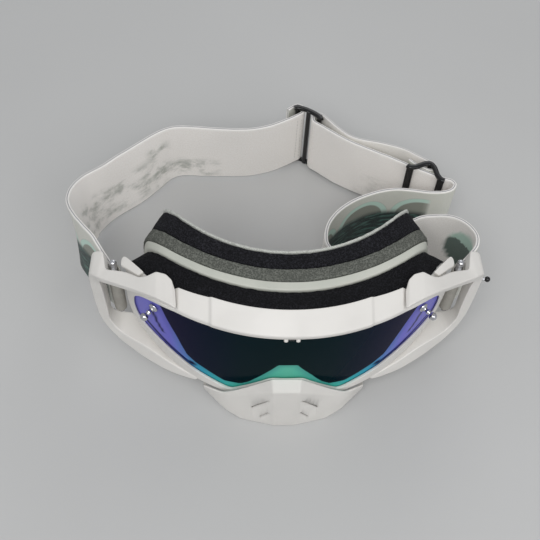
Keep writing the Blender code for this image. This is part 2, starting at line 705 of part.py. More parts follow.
def build():
    clear_scene()
    white = material("frame_plastic", (0.85, 0.83, 0.79), 0.42)
    grey = material("inner_frame_plastic", (0.62, 0.63, 0.58), 0.5)
    mirror = material("mirror_lens", (0.01, 0.04, 0.06), 0.08, 0.9)
    black_foam = material("black_foam", (0.012, 0.012, 0.015), 0.95)
    grey_foam = material("grey_foam", (0.16, 0.17, 0.15), 0.95)
    fleece = material("fleece", (0.5, 0.52, 0.48), 0.98)
    chrome = material("chrome", (0.8, 0.8, 0.82), 0.12, 1.0)
    webbing = material("strap_webbing", (0.75, 0.72, 0.68), 0.85)
    black = material("black_plastic", (0.01, 0.01, 0.012), 0.3)

    make_front_frame(white)
    make_inner_frame(grey)
    make_lens(mirror)
    make_lens_pegs(white, black)
    make_vent_foam("vent_foam_top", True, black_foam)
    make_vent_foam("vent_foam_bottom", False, black_foam)
    make_foam_layer("foam_grey_layer", FLANGE_REAR, GREY_REAR, -0.1, 0.3, grey_foam)
    make_foam_layer("foam_black_layer", GREY_REAR, BLACK_REAR, 0.3, 0.95, black_foam)
    make_foam_layer("foam_fleece_layer", BLACK_REAR, FLEECE_REAR, 0.95, 1.0, fleece)
    make_nose_guard(white)
    for side in (-1, 1):
        make_outrigger(side, white)
        make_side_fin(side, white)
        make_strap_pin(side, chrome)
        make_end_loop(side, webbing)
        make_tear_off_post(side, chrome)
    make_outrigger_post(chrome)

    left_bar = along_frame(RING_AT, RING_RUN, -RING_PITCH, 0.0)
    left_turn = turn_round_bar(left_bar, LOOP_RUN, 0.0, 0.0, LOOP_RADIUS, -90, 90, 4, STRAP_TOP)
    tail = along_frame(left_bar, LOOP_RUN, -5.0, LOOP_RADIUS - 0.4)
    make_strap("strap_left", STRAP_LEFT_ROUTE + left_turn + [(*tail, STRAP_TOP, 0.0)], webbing)

    lead = along_frame(RING_AT, RING_RUN, RING_PITCH + 1.0, -LOOP_RADIUS)
    right_turn = turn_round_bar(
        RING_AT, RING_RUN, RING_PITCH, 0.0, LOOP_RADIUS, -90, -270, 4, STRAP_TOP)
    make_strap("strap_right", STRAP_RIGHT_ROUTE + [(*lead, STRAP_TOP, 0.0)] + right_turn[1:], webbing)

    ahead = along_frame(RING_AT, RING_RUN, RING_PITCH + 1.4, LOOP_RADIUS)
    make_strap("strap_return_layer", [(*ahead, STRAP_TOP, 0.0)] + STRAP_RETURN_ROUTE, webbing)
    half = RING_BAR / 2
    ring_bars = [(place, RING_BAR, -half, half) for place in (-RING_PITCH, 0.0, RING_PITCH)]
    fitting_frame("strap_ring", RING_AT, RING_RUN, ring_bars, (-half, half), black)
    # Across is measured towards the head, so the fold is on the low side
    fitting_frame("strap_slider", SLIDER_AT, SLIDER_RUN,
                  [(-SLIDER_PITCH, SLIDER_BAR, 1.4, 3.4), (0.0, RING_BAR, -6.0, -3.8),
                   (SLIDER_PITCH, SLIDER_BAR, 1.4, 3.4)], (-6.0, 3.4), black)
    fold = turn_round_bar(SLIDER_AT, SLIDER_RUN, 0.0, -4.9, 2.7, 90, 270, 6, STRAP_TOP)
    tail = along_frame(SLIDER_AT, SLIDER_RUN, 8.0, -7.6)
    lead = along_frame(SLIDER_AT, SLIDER_RUN, 5.0, -2.2)
    make_strap("strap_slider_fold", [(*lead, STRAP_TOP, 0.0)] + fold + [(*tail, STRAP_TOP, 0.0)],
               webbing, 4.0, thick=1.4)


build()
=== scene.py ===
"""Looks for the motorcycle goggles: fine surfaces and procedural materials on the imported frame.

Lengths are in millimetres until add_mesh turns them into metres. The frame's outlines are
the same as in the part's own source, and are sampled more finely here.
"""

import math

import bmesh
import bpy
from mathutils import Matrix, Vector, noise


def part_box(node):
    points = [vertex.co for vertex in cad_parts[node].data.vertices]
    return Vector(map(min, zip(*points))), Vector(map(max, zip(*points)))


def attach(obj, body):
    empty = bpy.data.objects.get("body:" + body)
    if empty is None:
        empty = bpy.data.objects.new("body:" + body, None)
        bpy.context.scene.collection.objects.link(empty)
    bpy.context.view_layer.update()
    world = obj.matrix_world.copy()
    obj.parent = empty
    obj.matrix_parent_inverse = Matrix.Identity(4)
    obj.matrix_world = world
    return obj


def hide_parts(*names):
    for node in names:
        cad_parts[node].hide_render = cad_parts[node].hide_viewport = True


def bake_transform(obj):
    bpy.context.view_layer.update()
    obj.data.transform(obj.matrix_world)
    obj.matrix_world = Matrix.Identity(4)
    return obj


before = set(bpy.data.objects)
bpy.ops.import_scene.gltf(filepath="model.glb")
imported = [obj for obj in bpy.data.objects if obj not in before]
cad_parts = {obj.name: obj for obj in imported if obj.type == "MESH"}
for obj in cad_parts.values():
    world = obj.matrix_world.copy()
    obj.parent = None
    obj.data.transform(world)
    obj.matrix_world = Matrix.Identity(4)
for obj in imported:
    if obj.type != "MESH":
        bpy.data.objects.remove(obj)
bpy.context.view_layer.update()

MM = 0.001

# ---- driving sizes, in mm

OUTLINE_STEP = 2.4             # longest step along a frame outline
OUTLINE_ARC = 6                # steps round an outline's corner
TRIM_STEP = 2.2                # longest step along an outrigger

LENS_RADIUS = 98.0
LENS_LEAN = 0.088
LENS_LEAN_TOP = 92.0
LENS_THICK = 0.9
LENS_TUCK = 1.4
LENS_COLUMN, LENS_ROWS = 1.2, 44
GAP = 0.3
LIP_GAP = 0.55
FRAME_HOLLOW = 0.7
INNER_LAND = 2.2
WALL_ROOT = 0.45

FLANGE_REAR = (25.0, 86.0)
FLANGE_THICK = 4.5
GREY_REAR = (32.0, 82.0)
BLACK_REAR = (41.0, 71.5)
FLEECE_REAR = (42.4, 71.0)
LAYER_GAP = 0.25

STRAP_WIDTH = 43.0
STRAP_THICK = 2.0
PIN_X, PIN_Y = 83.0, 45.8
RING_HEIGHT = 48.0
RING_PITCH = 7.0
SLIDER_PITCH = 9.0
SLIDER_BAR = 4.0
SLIDER_CENTRE, SLIDER_END = -4.9, 2.4          # the bars' places across the strap
RAIL_IN = 1.05                 # a rail's middle, in from the fitting's end
FOLD_RADIUS = 2.7
RETURN_THICK = 1.5
TAPE_WIDTH, TAPE_THICK = 35.6, 1.0
TAPE_TOP, TAPE_RADIUS = 73.6, 2.6
STITCH_PITCH, STITCH_RADIUS = 2.6, 0.24
STITCH_BOW, STITCH_LIFT = 0.16, 0.05
TEAR_OFF_PLACE = (62.5, 77.0)

# Right half of each frame outline, from the top centre round to the bottom centre.
# (x, z, corner size)
LIP = [
    (0, 92.5, 0), (35.6, 91.3, 3), (36.8, 91.2, 3), (50.6, 89.7, 2), (52.4, 89.4, 2),
    (62.5, 85, 7), (69, 79.4, 7), (73, 71, 6), (74, 58, 6), (72, 47, 5),
    (61.8, 39.6, 4), (47, 27.6, 2), (27.5, 16.4, 3), (7.9, 40.4, 2), (0, 40.4, 0),
]
# (x, z, how far ahead of the lens, corner size)
FRAME_FRONT = [
    (0, 95.7, 1.9, 0), (35.6, 94.6, 1.9, 0.5), (36.9, 93.8, 1.1, 0.5),
    (50.6, 92.4, 1.1, 0.5), (52.6, 91, 1.1, 0.5), (65, 87, 1.6, 6),
    (73, 80.2, 2, 6), (77, 71, 2, 6), (77.9, 58, 2, 6), (76.4, 43.2, 2.2, 6),
    (65.6, 31, 2.6, 5), (49, 19.4, 3, 4), (26.8, 13.4, 3, 4), (7.4, 34, 1.2, 2),
    (0, 34, 1.2, 0),
]
# (x, z, how far behind the lens, corner size)
FRAME_REAR = [
    (0, 100.5, 10, 0), (35.6, 98.9, 10.6, 0.5), (36.9, 98, 10.4, 0.5),
    (50.6, 96, 9.4, 0.5), (52.6, 92.6, 9, 0.5), (65, 89.4, 7.5, 4),
    (75, 82, 9.6, 5), (78.2, 72, 9.6, 5), (78.4, 58, 9, 6), (77, 42.8, 9, 6),
    (66, 30.4, 9, 5), (49.4, 18.9, 9, 4), (26.6, 12.8, 9, 4), (6.6, 33.4, 9, 2),
    (0, 33.4, 9, 0),
]
FLANGE_OUTER = [
    (0, 97.5, 0), (30, 97, 9), (48, 95, 7), (60, 91, 6), (67, 83, 6),
    (69.5, 72, 6), (70, 58, 6), (67, 45, 6), (57, 33.5, 6), (45, 27, 6),
    (29, 27, 6), (12, 46, 5), (0, 50, 0),
]
FLANGE_INNER = [
    (0, 88, 0), (29, 87.5, 8), (45, 85.5, 6), (53, 82.5, 5), (57.5, 77.5, 5),
    (59, 70, 5), (59, 58, 5), (56.5, 49, 5), (50, 41.5, 4), (42, 37, 4),
    (33, 38, 4), (20, 52.5, 5), (0, 59, 0),
]
FACE_OUTER = [
    (0, 96, 0), (30, 95.5, 9), (45, 94.5, 7), (53.4, 92.4, 6), (59, 85, 6),
    (61, 72, 6), (61, 58, 6), (58.5, 46.5, 6), (51, 37, 6), (42, 32.5, 6),
    (30, 33, 6), (14, 49, 5), (0, 53, 0),
]
# Edge of the bright band of painted reflection round the mirror coating, as (distance from the middle,
# height)
REFLECTION_EDGE = [
    (0, 56.4), (4.5, 56.2), (18, 30), (22.5, 24.6), (30.5, 22.8), (44.9, 34),
    (49.1, 39.3), (59, 80), (62, 92),
]
# Two dark streaks on the coating, and the dark knot at the end of the first
STREAKS = [[(69.4, 50.6), (58, 38.6), (47.3, 29.3)], [(64.4, 70), (62.6, 59), (60.2, 51)]]
KNOT = (46.8, 30.5)

VENT_THICK = 1.7
VENT_INSET = 1.0
VENT_GAP, VENT_FLANGE_GAP = 0.35, 0.4          # off the frame's rear edge and the flange
VENT_END = 1.2                 # from the last section's middle to the end of its CAD solid

# Outrigger, right side: outer point, inner point, step to its rear edge, corner size
OUTRIGGER = [
    ((51.4, 12.6, 95), (51.4, 12.9, 93.6), (0.6, 9.6), 0),
    ((53, 13.4, 96), (53, 13.8, 93.5), (0.8, 13.8), 0.8),
    ((56, 15.2, 96), (56, 15.7, 93.2), (0.5, 14.9), 0.8),
    ((60.6, 18, 95.4), (60.6, 18.6, 92), (0.4, 13.8), 1),
    ((66.4, 21.9, 93), (66.4, 22.6, 88.9), (-1, 8.9), 3),
    ((72, 25.6, 90.4), (72, 26.5, 85.4), (-3, 6.2), 3.5),
    ((80, 30.8, 86.2), (79.6, 31.6, 81), (-3.6, 6.6), 4),
    ((88, 35.8, 82.6), (86.8, 35.8, 77.8), (-2.2, 5), 1.4),
    ((90.4, 37.4, 81.6), (88.6, 36.9, 76.9), (-2.4, 14.4), 2),
    ((94.2, 40.6, 78.6), (89.6, 38.6, 73.6), (-0.6, 12.4), 2.6),
    ((95.2, 42.2, 71), (89.2, 39.2, 69), (-0.8, 7.2), 3.5),
    ((95, 42.2, 50), (88.6, 39.2, 50), (-0.8, 6.8), 8),
    ((93.8, 41.2, 36), (88.4, 38.4, 36.8), (-0.6, 6.8), 4),
    ((90.6, 38.8, 28.2), (84.6, 36, 30.5), (-1.8, 10.6), 3),
    ((84, 33.8, 23.2), (78.6, 31.8, 30), (-2, 14.6), 3),
    ((72, 26.2, 18.2), (69.6, 27, 28.2), (-3, 7.6), 4),
    ((60, 19.6, 16), (58.6, 20.8, 23.4), (-3, 6), 5),
    ((50, 15.6, 16), (49, 16.2, 20.4), (-2.4, 5), 3),
    ((44.6, 13.4, 17.8), (44.2, 14, 19.6), (-2, 4.2), 0),
]
# Side fin, right side: (inner edge, outer edge) of its top face and corner size, from its root
SIDE_FIN = [
    ((67, 34.6, 90.2), (69.6, 33.4, 89), 0), ((71, 39, 89.4), (76, 39.6, 85.6), 3),
    ((75, 43.6, 87.8), (78.6, 41.6, 84.6), 1.2), ((76.9, 45.6, 86.6), (78.4, 44.6, 85.2), 0),
]
SIDE_FIN_THICK = 1.6

# Nose guard, right half: top edge, crease, bottom edge, (rearward, down) step, corner size
GUARD_COLUMNS = [
    ((7.2, 2.7, 41.8), (6.6, -2.6, 37.3), (5, -4.3, 0), (0.1, 1.7), 0.8),
    ((24.2, 5, 24.2), (22.4, 3.2, 20.4), (22, -0.4, 0), (0.8, 0.6), 1.2),
    ((31.6, 6.4, 17), (31.4, 6.2, 16), (30, 3.6, 2.4), (1.2, 0.2), 3),
    ((41, 11.6, 14.6), (41.2, 11.8, 13.6), (41.4, 13, 9), (1.2, 0.2), 0),
]
GUARD_WALL = 1.9
GUARD_LEDGE = 8.0
SLOT_WIDTH = 1.3
SLOT_DEPTHS = (-14, 8.5)     # the cutters' ends, ahead of and behind the guard's shell
GUARD_SLOTS = [((8.2, 26.4), (16.6, 14.2)), ((8, 13.4), (12.2, 6.8))]

STRAP_TOP = 45.4
# Strap centre line: (x, y, height of the top edge, outward lean of the top edge). A point
# without the last one or two has no lean, and its top edge at STRAP_TOP.
STRAP_LEFT_ROUTE = [
    (-85.4, 50.1, 72.6), (-89.4, 56.6, 73.2, -2), (-94.8, 66.5, 72, -4),
    (-100.5, 74.6, 69.2, -4), (-106, 83, 65.6, -2), (-110.4, 92.2, 60.6, 5),
    (-112.4, 101, 56.2, 10), (-111.8, 110, 52.4, 10), (-107.6, 118.8, 49, 8.5),
    (-98.2, 128.4, 46.4, 6.5), (-89.5, 136.2, 45.6, 6.5), (-80.8, 143.3, 45.4, 6.5),
    (-71.9, 150.4, 45.4, 5), (-65, 154.8, 45.4, 2.8), (-58, 156.9, 45.4, 1.8),
    (-50, 157, 45.4, 1.5), (-39.6, 156.2, 45.4, 1), (-26, 155.4, 45.4, 0.3), (-15.5, 155.7),
    (-6, 157.9), (2.6, 161.9),
]
STRAP_RIGHT_ROUTE = [
    (85.4, 50.1, 72.6), (90.4, 55.4, 73.2), (94.2, 60.4, 72.8), (95.6, 67, 71.4),
    (93.6, 74.4, 69.2), (88.9, 80.6, 66.5), (83, 84.2, 64), (77, 85.9, 61.6),
    (70.9, 86.2, 60), (63, 83.8, 56.8), (54, 79.6, 53), (44, 75.2, 49.6),
    (35, 72.6, 47.4), (27.6, 73.6, 46.2), (23.4, 78.2, 45.8), (22.8, 84, 45.6), (24.3, 90.8),
    (28.4, 97.5), (34.5, 103.4), (41.4, 108), (49.1, 111.6), (56.8, 113.7), (64, 114.3),
    (72.7, 113.5), (81, 112.5), (89.4, 113), (93.8, 114.9), (95.3, 118), (93.2, 120.6),
    (88.8, 121.7), (84.4, 124), (71.8, 130.6), (52.1, 140.9), (39.6, 147.4), (30, 154),
]
STRAP_RETURN_ROUTE = [
    (29.5, 161.6), (33.3, 157.2), (39.5, 151.6), (46.5, 148.6), (57, 146.2),
]
SLIDER_AT = (80.7, 126.0)
SLIDER_RUN = (-0.886, 0.464)
RING_AT = (17.0, 167.0)
RING_RUN = (0.87, -0.493)
LOOP_RUN = (0.841, 0.541)      # direction in which the left strap meets the ring
LOOP_RADIUS = 3.4


# ---- shader helpers

def paint(red, green, blue):
    """A linear colour from 0 to 255 screen values."""
    linear = []
    for value in (red, green, blue):
        c = value / 255
        linear.append(c / 12.92 if c <= 0.04045 else ((c + 0.055) / 1.055) ** 2.4)
    return (*linear, 1.0)


def new_material(name, colour, roughness, metallic=0.0, specular=0.5):
    made = bpy.data.materials.new(name)
    made.use_nodes = True
    made.diffuse_color = colour
    shader = made.node_tree.nodes["Principled BSDF"]
    for title, value in (("Base Color", colour), ("Roughness", roughness),
                         ("Metallic", metallic), ("Specular IOR Level", specular)):
        shader.inputs[title].default_value = value
    return made, made.node_tree, shader


def feed(tree, value, target):
    if isinstance(value, bpy.types.NodeSocket):
        tree.links.new(value, target)
    else:
        target.default_value = value


def add_node(tree, kind, output, inputs, **settings):
    """One output of a new shader node whose inputs are given by name or number."""
    made = tree.nodes.new("ShaderNode" + kind)
    for title, value in settings.items():
        setattr(made, title, value)
    for key, value in inputs.items():
        feed(tree, value, made.inputs[key])
    return made.outputs[output]


def calc(tree, operation, *values):
    return add_node(tree, "Math", 0, dict(enumerate(values)), operation=operation)


def times(tree, *values):
    return calc(tree, "MULTIPLY", *values)


def mixed(tree, share, low, high):
    return add_node(tree, "Mix", 2, {0: share, 6: low, 7: high}, data_type="RGBA")


def eased(tree, value, start, end):
    """0 before start, 1 after end, smooth between. Start may be the larger."""
    ends = (end, start, 1.0, 0.0) if start > end else (start, end, 0.0, 1.0)
    inputs = dict(zip(("From Min", "From Max", "To Min", "To Max"), ends), Value=value)
    return add_node(tree, "MapRange", 0, inputs, interpolation_type="SMOOTHSTEP")


def attribute(tree, name):
    return add_node(tree, "Attribute", "Fac", {}, attribute_name=name)


def place(tree):
    return add_node(tree, "TexCoord", "Object", {})


def packed(tree, x, y):
    return add_node(tree, "CombineXYZ", 0, {0: x, 1: y})


def cloudy(tree, vector, scale, detail=3.0, rough=0.5):
    inputs = {"Vector": vector, "Scale": scale, "Detail": detail, "Roughness": rough}
    return add_node(tree, "TexNoise", "Fac", inputs)


def cells(tree, vector, scale):
    return add_node(tree, "TexVoronoi", "Distance", {"Vector": vector, "Scale": scale})


def bumped(tree, shader, height, strength, depth_mm):
    inputs = {"Strength": strength, "Distance": depth_mm * MM, "Height": height}
    tree.links.new(add_node(tree, "Bump", "Normal", inputs), shader.inputs["Normal"])


def tinted(tree, shader, share, low, high):
    """The shader's colour, mixed by share from low to high."""
    tree.links.new(mixed(tree, share, low, high), shader.inputs["Base Color"])


def woven(tree, along, across, rib_mm, row_mm):
    """-1 to 1 over the ribs and rows of a weave of that pitch."""
    waves = [calc(tree, "SINE", times(tree, value, 2 * math.pi / pitch))
             for value, pitch in ((along, rib_mm), (across, row_mm))]
    return times(tree, *waves)


def ramp(tree, value, stops):
    """A colour ramp over millimetres: stops is (millimetres, colour)."""
    span = stops[-1][0]
    made = tree.nodes.new("ShaderNodeValToRGB")
    tree.links.new(calc(tree, "DIVIDE", value, span), made.inputs[0])
    points = made.color_ramp.elements
    while len(points) < len(stops):
        points.new(0.5)
    for point, (at, colour) in zip(points, stops):
        point.position = at / span
        point.color = colour
    return made.outputs["Color"]


# ---- materials

def moulded_plastic(name, colour, shade, roughness):
    """Satin moulded plastic with a faint mottle and a fine spark-eroded grain."""
    made, tree, shader = new_material(name, colour, roughness)
    at = place(tree)
    mottle = cloudy(tree, at, 45.0, 4.0)
    tinted(tree, shader, eased(tree, mottle, 0.35, 0.75), colour, shade)
    grain = cloudy(tree, at, 2600.0, 2.0)
    wear = calc(tree, "MULTIPLY_ADD", grain, 0.14, roughness - 0.07)
    tree.links.new(wear, shader.inputs["Roughness"])
    bumped(tree, shader, grain, 0.12, 0.08)
    return made


def foam(name, dark, light, pore, depth):
    """Open-cell foam: dark pores between paler struts, with a slow change of tone."""
    made, tree, shader = new_material(name, dark, 0.95, specular=0.2)
    at = place(tree)
    pores = cells(tree, at, pore)
    struts = times(tree, eased(tree, pores, 0.25, 0.75), cloudy(tree, at, pore * 0.55, 2.0))
    tone = cloudy(tree, at, 120.0, 3.0)
    share = times(tree, struts, calc(tree, "MULTIPLY_ADD", tone, 1.2, 0.5))
    tinted(tree, shader, times(tree, share, 1.3), dark, light)
    bumped(tree, shader, struts, 0.9, depth)
    return made


def fleece_cloth():
    """Brushed fleece: short tangled fibres over a light knit."""
    dark, light = paint(158, 160, 153), paint(200, 202, 195)
    made, tree, shader = new_material("fleece", light, 0.97, specular=0.15)
    shader.inputs["Sheen Weight"].default_value = 0.3
    at = place(tree)
    fibres = cloudy(tree, at, 1900.0, 4.0, 0.7)
    tufts = cloudy(tree, at, 420.0, 3.0)
    share = times(tree, eased(tree, fibres, 0.3, 0.6), eased(tree, tufts, 0.25, 0.5))
    tinted(tree, shader, share, dark, light)
    bumped(tree, shader, fibres, 0.9, 0.4)
    return made


def polished(name, colour, roughness, metallic):
    """Polished metal or gloss plastic with faint handling marks in its roughness."""
    made, tree, shader = new_material(name, colour, roughness, metallic)
    marks = cloudy(tree, place(tree), 700.0, 4.0, 0.6)
    wear = calc(tree, "MULTIPLY_ADD", marks, 0.16, roughness - 0.04)
    tree.links.new(wear, shader.inputs["Roughness"])
    shade = tuple(c * 0.7 for c in colour[:3]) + (1.0,)
    tinted(tree, shader, eased(tree, marks, 0.3, 0.8), colour, shade)
    return made


def mirror_coating():
    """The lens: near-black coating with a bright band of interference colours at its rim, painted as the
    coating's reflection of the white frame.
    """
    deep = paint(3, 22, 29)
    # Almost no specular: the coating's reflection of the frame is painted into its colour instead.
    made, tree, shader = new_material("mirror_lens", deep, 0.15, specular=0.006)
    side = attribute(tree, "side")
    middle = ramp(tree, side, [
        (0.0, paint(3, 26, 30)), (22.0, paint(3, 26, 33)), (40.0, paint(5, 18, 40)),
        (54.0, paint(12, 10, 46)), (75.0, paint(20, 16, 66))])
    # Colours of the rim band, the painted reflection of the white frame, by distance from the middle.
    rim = ramp(tree, side, [
        (0.0, paint(96, 190, 165)), (12.0, paint(84, 186, 166)), (25.0, paint(84, 204, 188)),
        (36.0, paint(66, 180, 190)), (44.0, paint(66, 160, 196)), (50.0, paint(102, 136, 206)),
        (57.0, paint(114, 112, 204)), (75.0, paint(128, 126, 206))])
    at = place(tree)
    drift = calc(tree, "MULTIPLY_ADD", cloudy(tree, at, 60.0, 2.0), 1.2, -0.6)
    edge = calc(tree, "ADD", attribute(tree, "band"), drift)
    colour = mixed(tree, eased(tree, edge, -0.35, 0.35), middle, rim)
    # Painted shade: the reflected band dulls a quarter of the way to dark blue over the 5 mm next to the
    # dark middle.
    band_shade_share = times(tree, eased(tree, edge, 5.0, 0.0), eased(tree, edge, -0.35, 0.35))
    band_with_painted_shade = mixed(tree, times(tree, band_shade_share, 0.25), colour, paint(36, 60, 110))
    mark = times(tree, attribute(tree, "streak"), eased(tree, edge, -0.2, 0.4))
    tinted(tree, shader, mark, band_with_painted_shade, paint(18, 22, 58))
    return made


def webbing(name):
    """Strap webbing: brushed inner face, warm grey outer face with a print, laminated edges."""
    made, tree, shader = new_material(name, paint(225, 220, 215), 0.9, specular=0.25)
    shader.inputs["Sheen Weight"].default_value = 0.15
    along, across, depth = [attribute(tree, n) for n in ("along", "across", "depth")]
    flat = packed(tree, along, across)
    pile = cloudy(tree, flat, 1.3, 4.0, 0.7)
    inner = mixed(tree, eased(tree, pile, 0.3, 0.7), paint(240, 235, 229), paint(252, 249, 245))
    # Darker greenish-grey blotches on the inner face, where the strap's mesh marks them, mostly low on
    # the strap.
    wide = packed(tree, times(tree, along, 0.07), times(tree, across, 0.12))
    blotch_noise = cloudy(tree, wide, 1.0, 4.0, 0.65)
    blotched = times(tree, attribute(tree, "blotches"), eased(tree, blotch_noise, 0.42, 0.7))
    inner = mixed(tree, times(tree, blotched, 0.7), inner, paint(122, 130, 118))
    patched = times(tree, attribute(tree, "patch"), 0.9)
    inner = mixed(tree, patched, inner, printed_patch(tree, along, across))
    weave = woven(tree, along, across, 1.1, 0.9)
    outer = mixed(tree, eased(tree, weave, -1.0, 1.0), paint(196, 196, 187), paint(218, 218, 209))
    outer = printed_arches(tree, along, across, outer)
    cloth = mixed(tree, eased(tree, depth, -0.2, 0.2), inner, outer)
    core = eased(tree, calc(tree, "ABSOLUTE", depth), 0.36, 0.14)
    edge_colour = mixed(tree, core, paint(236, 233, 229), paint(150, 150, 152))
    tinted(tree, shader, attribute(tree, "edge"), cloth, edge_colour)
    height = calc(tree, "MULTIPLY_ADD", weave, 0.3, pile)
    bumped(tree, shader, height, 0.55, 0.25)
    return made


def printed_arches(tree, along, across, ground):
    """A row of mint arches over a dark field, where the print attribute is set."""
    pitch, radius, centre, line = 34.0, 16.5, 20.5, 3.4
    step = calc(tree, "SUBTRACT", calc(tree, "MODULO", along, pitch), pitch / 2)
    rise = calc(tree, "SUBTRACT", across, centre)
    square = calc(tree, "ADD", times(tree, step, step), times(tree, rise, rise))
    reach = calc(tree, "SQRT", square)
    below = eased(tree, across, 27.0, 21.0)
    inside = eased(tree, reach, radius + 0.4, radius - 0.4)
    core = eased(tree, reach, radius - line + 0.5, radius - line - 0.5)
    field = calc(tree, "MAXIMUM", inside, below)
    smear = cloudy(tree, packed(tree, times(tree, along, 0.25), across), 0.5, 3.0)
    dark = mixed(tree, eased(tree, smear, 0.45, 0.7), paint(22, 40, 38), paint(70, 108, 98))
    arch = calc(tree, "SUBTRACT", inside, core)
    outline = times(tree, arch, calc(tree, "SUBTRACT", 1.0, below))
    filled = mixed(tree, outline, mixed(tree, below, paint(138, 140, 130), dark), paint(190, 215, 203))
    printed = mixed(tree, field, ground, filled)
    return mixed(tree, attribute(tree, "print"), ground, printed)


def printed_patch(tree, along, across):
    """A mint patch that breaks up into dark green towards its lower edge."""
    grain = cloudy(tree, packed(tree, along, times(tree, across, 0.5)), 0.42, 4.0, 0.7)
    lower = calc(tree, "ADD", eased(tree, across, 32.0, 22.0), calc(tree, "SUBTRACT", grain, 0.5))
    return mixed(tree, eased(tree, lower, 0.35, 0.6), paint(172, 206, 190), paint(36, 74, 62))


def sleeve_webbing():
    """Plain grey woven tape."""
    made, tree, shader = new_material("webbing_grey", paint(160, 157, 150), 0.88, specular=0.25)
    along, across = attribute(tree, "along"), attribute(tree, "across")
    weave = woven(tree, along, across, 1.2, 1.0)
    tone = cloudy(tree, packed(tree, along, across), 0.3, 3.0)
    share = calc(tree, "MULTIPLY_ADD", tone, 0.6, times(tree, weave, 0.25))
    tinted(tree, shader, share, paint(152, 149, 142), paint(196, 193, 185))
    bumped(tree, shader, weave, 0.6, 0.25)
    return made


def thread():
    made, tree, shader = new_material("thread", paint(222, 220, 214), 0.7, specular=0.3)
    twist = cloudy(tree, place(tree), 2200.0, 2.0)
    tinted(tree, shader, twist, paint(196, 194, 188), paint(236, 234, 230))
    bumped(tree, shader, twist, 0.4, 0.1)
    return made


# ---- geometry helpers

def lens_y(x, z):
    """Depth of the lens's front surface."""
    arc = LENS_RADIUS - math.sqrt(LENS_RADIUS ** 2 - x * x)
    return LENS_LEAN * (LENS_LEAN_TOP - z) + arc


def rear_y(layer, x):
    """Depth of a face-side surface given as (centre depth, plan radius)."""
    centre, radius = layer
    return centre + radius - math.sqrt(radius * radius - x * x)


def on_lens(p, behind):
    """An (x, z) outline point, a distance behind the lens's front surface."""
    return p[0], lens_y(p[0], p[1]) + behind, p[1]


def on_layer(layer, p, behind=0.0):
    """An (x, z) outline point, a distance behind a face-side surface."""
    return p[0], rear_y(layer, p[0]) + behind, p[1]


def linked(name, data):
    made = bpy.data.objects.new(name, data)
    bpy.context.scene.collection.objects.link(made)
    return made


def add_mesh(name, verts, faces, look, smooth_angle=38.0):
    mesh = bpy.data.meshes.new(name)
    mesh.from_pydata([Vector(v) * MM for v in verts], [], faces)
    mesh.materials.append(look)
    work = bmesh.new()
    work.from_mesh(mesh)
    bmesh.ops.recalc_face_normals(work, faces=work.faces)
    work.to_mesh(mesh)
    work.free()
    mesh.shade_smooth()
    mesh.set_sharp_from_angle(angle=math.radians(smooth_angle))
    return linked(name, mesh)


def even_normals(target):
    """Keep the flat faces of a rounded piece flat in the light."""
    target.modifiers.new("even_normals", "WEIGHTED_NORMAL").keep_sharp = True
    return target


def stand_for(piece, slot, *nodes, body="frame"):
    """Give a piece its body and hide the CAD nodes that it replaces; the slot argument is not used."""
    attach(piece, body)
    if nodes:
        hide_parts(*nodes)
    return piece


def add_values(target, name, values):
    layer = target.data.attributes.new(name, "FLOAT", "POINT")
    layer.data.foreach_set("value", values)


def run_steps_of(points, longest):
    """Steps between neighbours, none of them longer than that."""
    return [max(1, math.ceil(math.dist(a, b) / longest)) for a, b in zip(points, points[1:])]


def corner_arc(before, corner, after, size, steps):
    """Points round a corner, which is cut back where its sides are short."""
    back, ahead = before - corner, after - corner
    reach = min(size, 0.45 * back.length, 0.45 * ahead.length)
    enter, leave = corner + back.normalized() * reach, corner + ahead.normalized() * reach
    shares = [k / steps for k in range(steps + 1)]
    return [enter.lerp(corner, t).lerp(corner.lerp(leave, t), t) for t in shares]


def corner_path(keys, arc_steps, run_steps):
    """Points along a polyline whose corners are rounded. A key is (..., corner size)."""
    points = [Vector(k[:-1]) for k in keys]
    path = [points[0]]
    for i, steps in enumerate(run_steps, 1):
        arc = [points[i]]
        if i < len(points) - 1:
            arc = corner_arc(*points[i - 1:i + 2], keys[i][-1], arc_steps)
        start = path[-1]
        path += [start.lerp(arc[0], k / steps) for k in range(1, steps + 1)] + arc[1:]
    return path


def closed_outline(keys, master):
    """Right-half keys made into a full loop by mirroring in X, sampled as the master is."""
    steps = run_steps_of([key[:2] for key in master], OUTLINE_STEP)
    right = corner_path(keys, OUTLINE_ARC, steps)
    return right + [Vector((-p[0], *p[1:])) for p in reversed(right[1:-1])]


def inset(loop, distance):
    """Move an (x, z, ...) loop inward by a distance, across its own direction."""
    moved = []
    count = len(loop)
    for i, p in enumerate(loop):
        before, after = loop[i - 1], loop[(i + 1) % count]
        along = Vector((after[0] - before[0], after[1] - before[1])).normalized()
        q = p.copy()
        q[0] += along[1] * distance
        q[1] -= along[0] * distance
        moved.append(q)
    return moved


def rounded(polygon, radii, steps=3, fill=0):
    """A polygon with each corner turned into a short arc, and points along its sides."""
    points = []
    corners = [Vector(c) for c in polygon]
    sides = [k / (fill + 1) for k in range(1, fill + 1)]
    for i, corner in enumerate(corners):
        arc = corner_arc(corners[i - 1], corner, corners[(i + 1) % len(corners)], radii[i], steps)
        if points:
            points += [points[-1].lerp(arc[0], t) for t in sides]
        points += arc
    return points + [points[-1].lerp(points[0], t) for t in sides]


def loft(name, sections, look, closed, smooth_angle=38.0):
    """A surface through equal sections; closed joins the last to the first, else it is capped."""
    sides, count = len(sections[0]), len(sections)
    verts = [p for section in sections for p in section]
    faces = []
    for i in range(count if closed else count - 1):
        j = (i + 1) % count
        for k in range(sides):
            n = (k + 1) % sides
            faces.append((i * sides + k, i * sides + n, j * sides + n, j * sides + k))
    if not closed:
        faces.append(tuple(range(sides)))
        faces.append(tuple((count - 1) * sides + k for k in reversed(range(sides))))
    return add_mesh(name, verts, faces, look, smooth_angle)


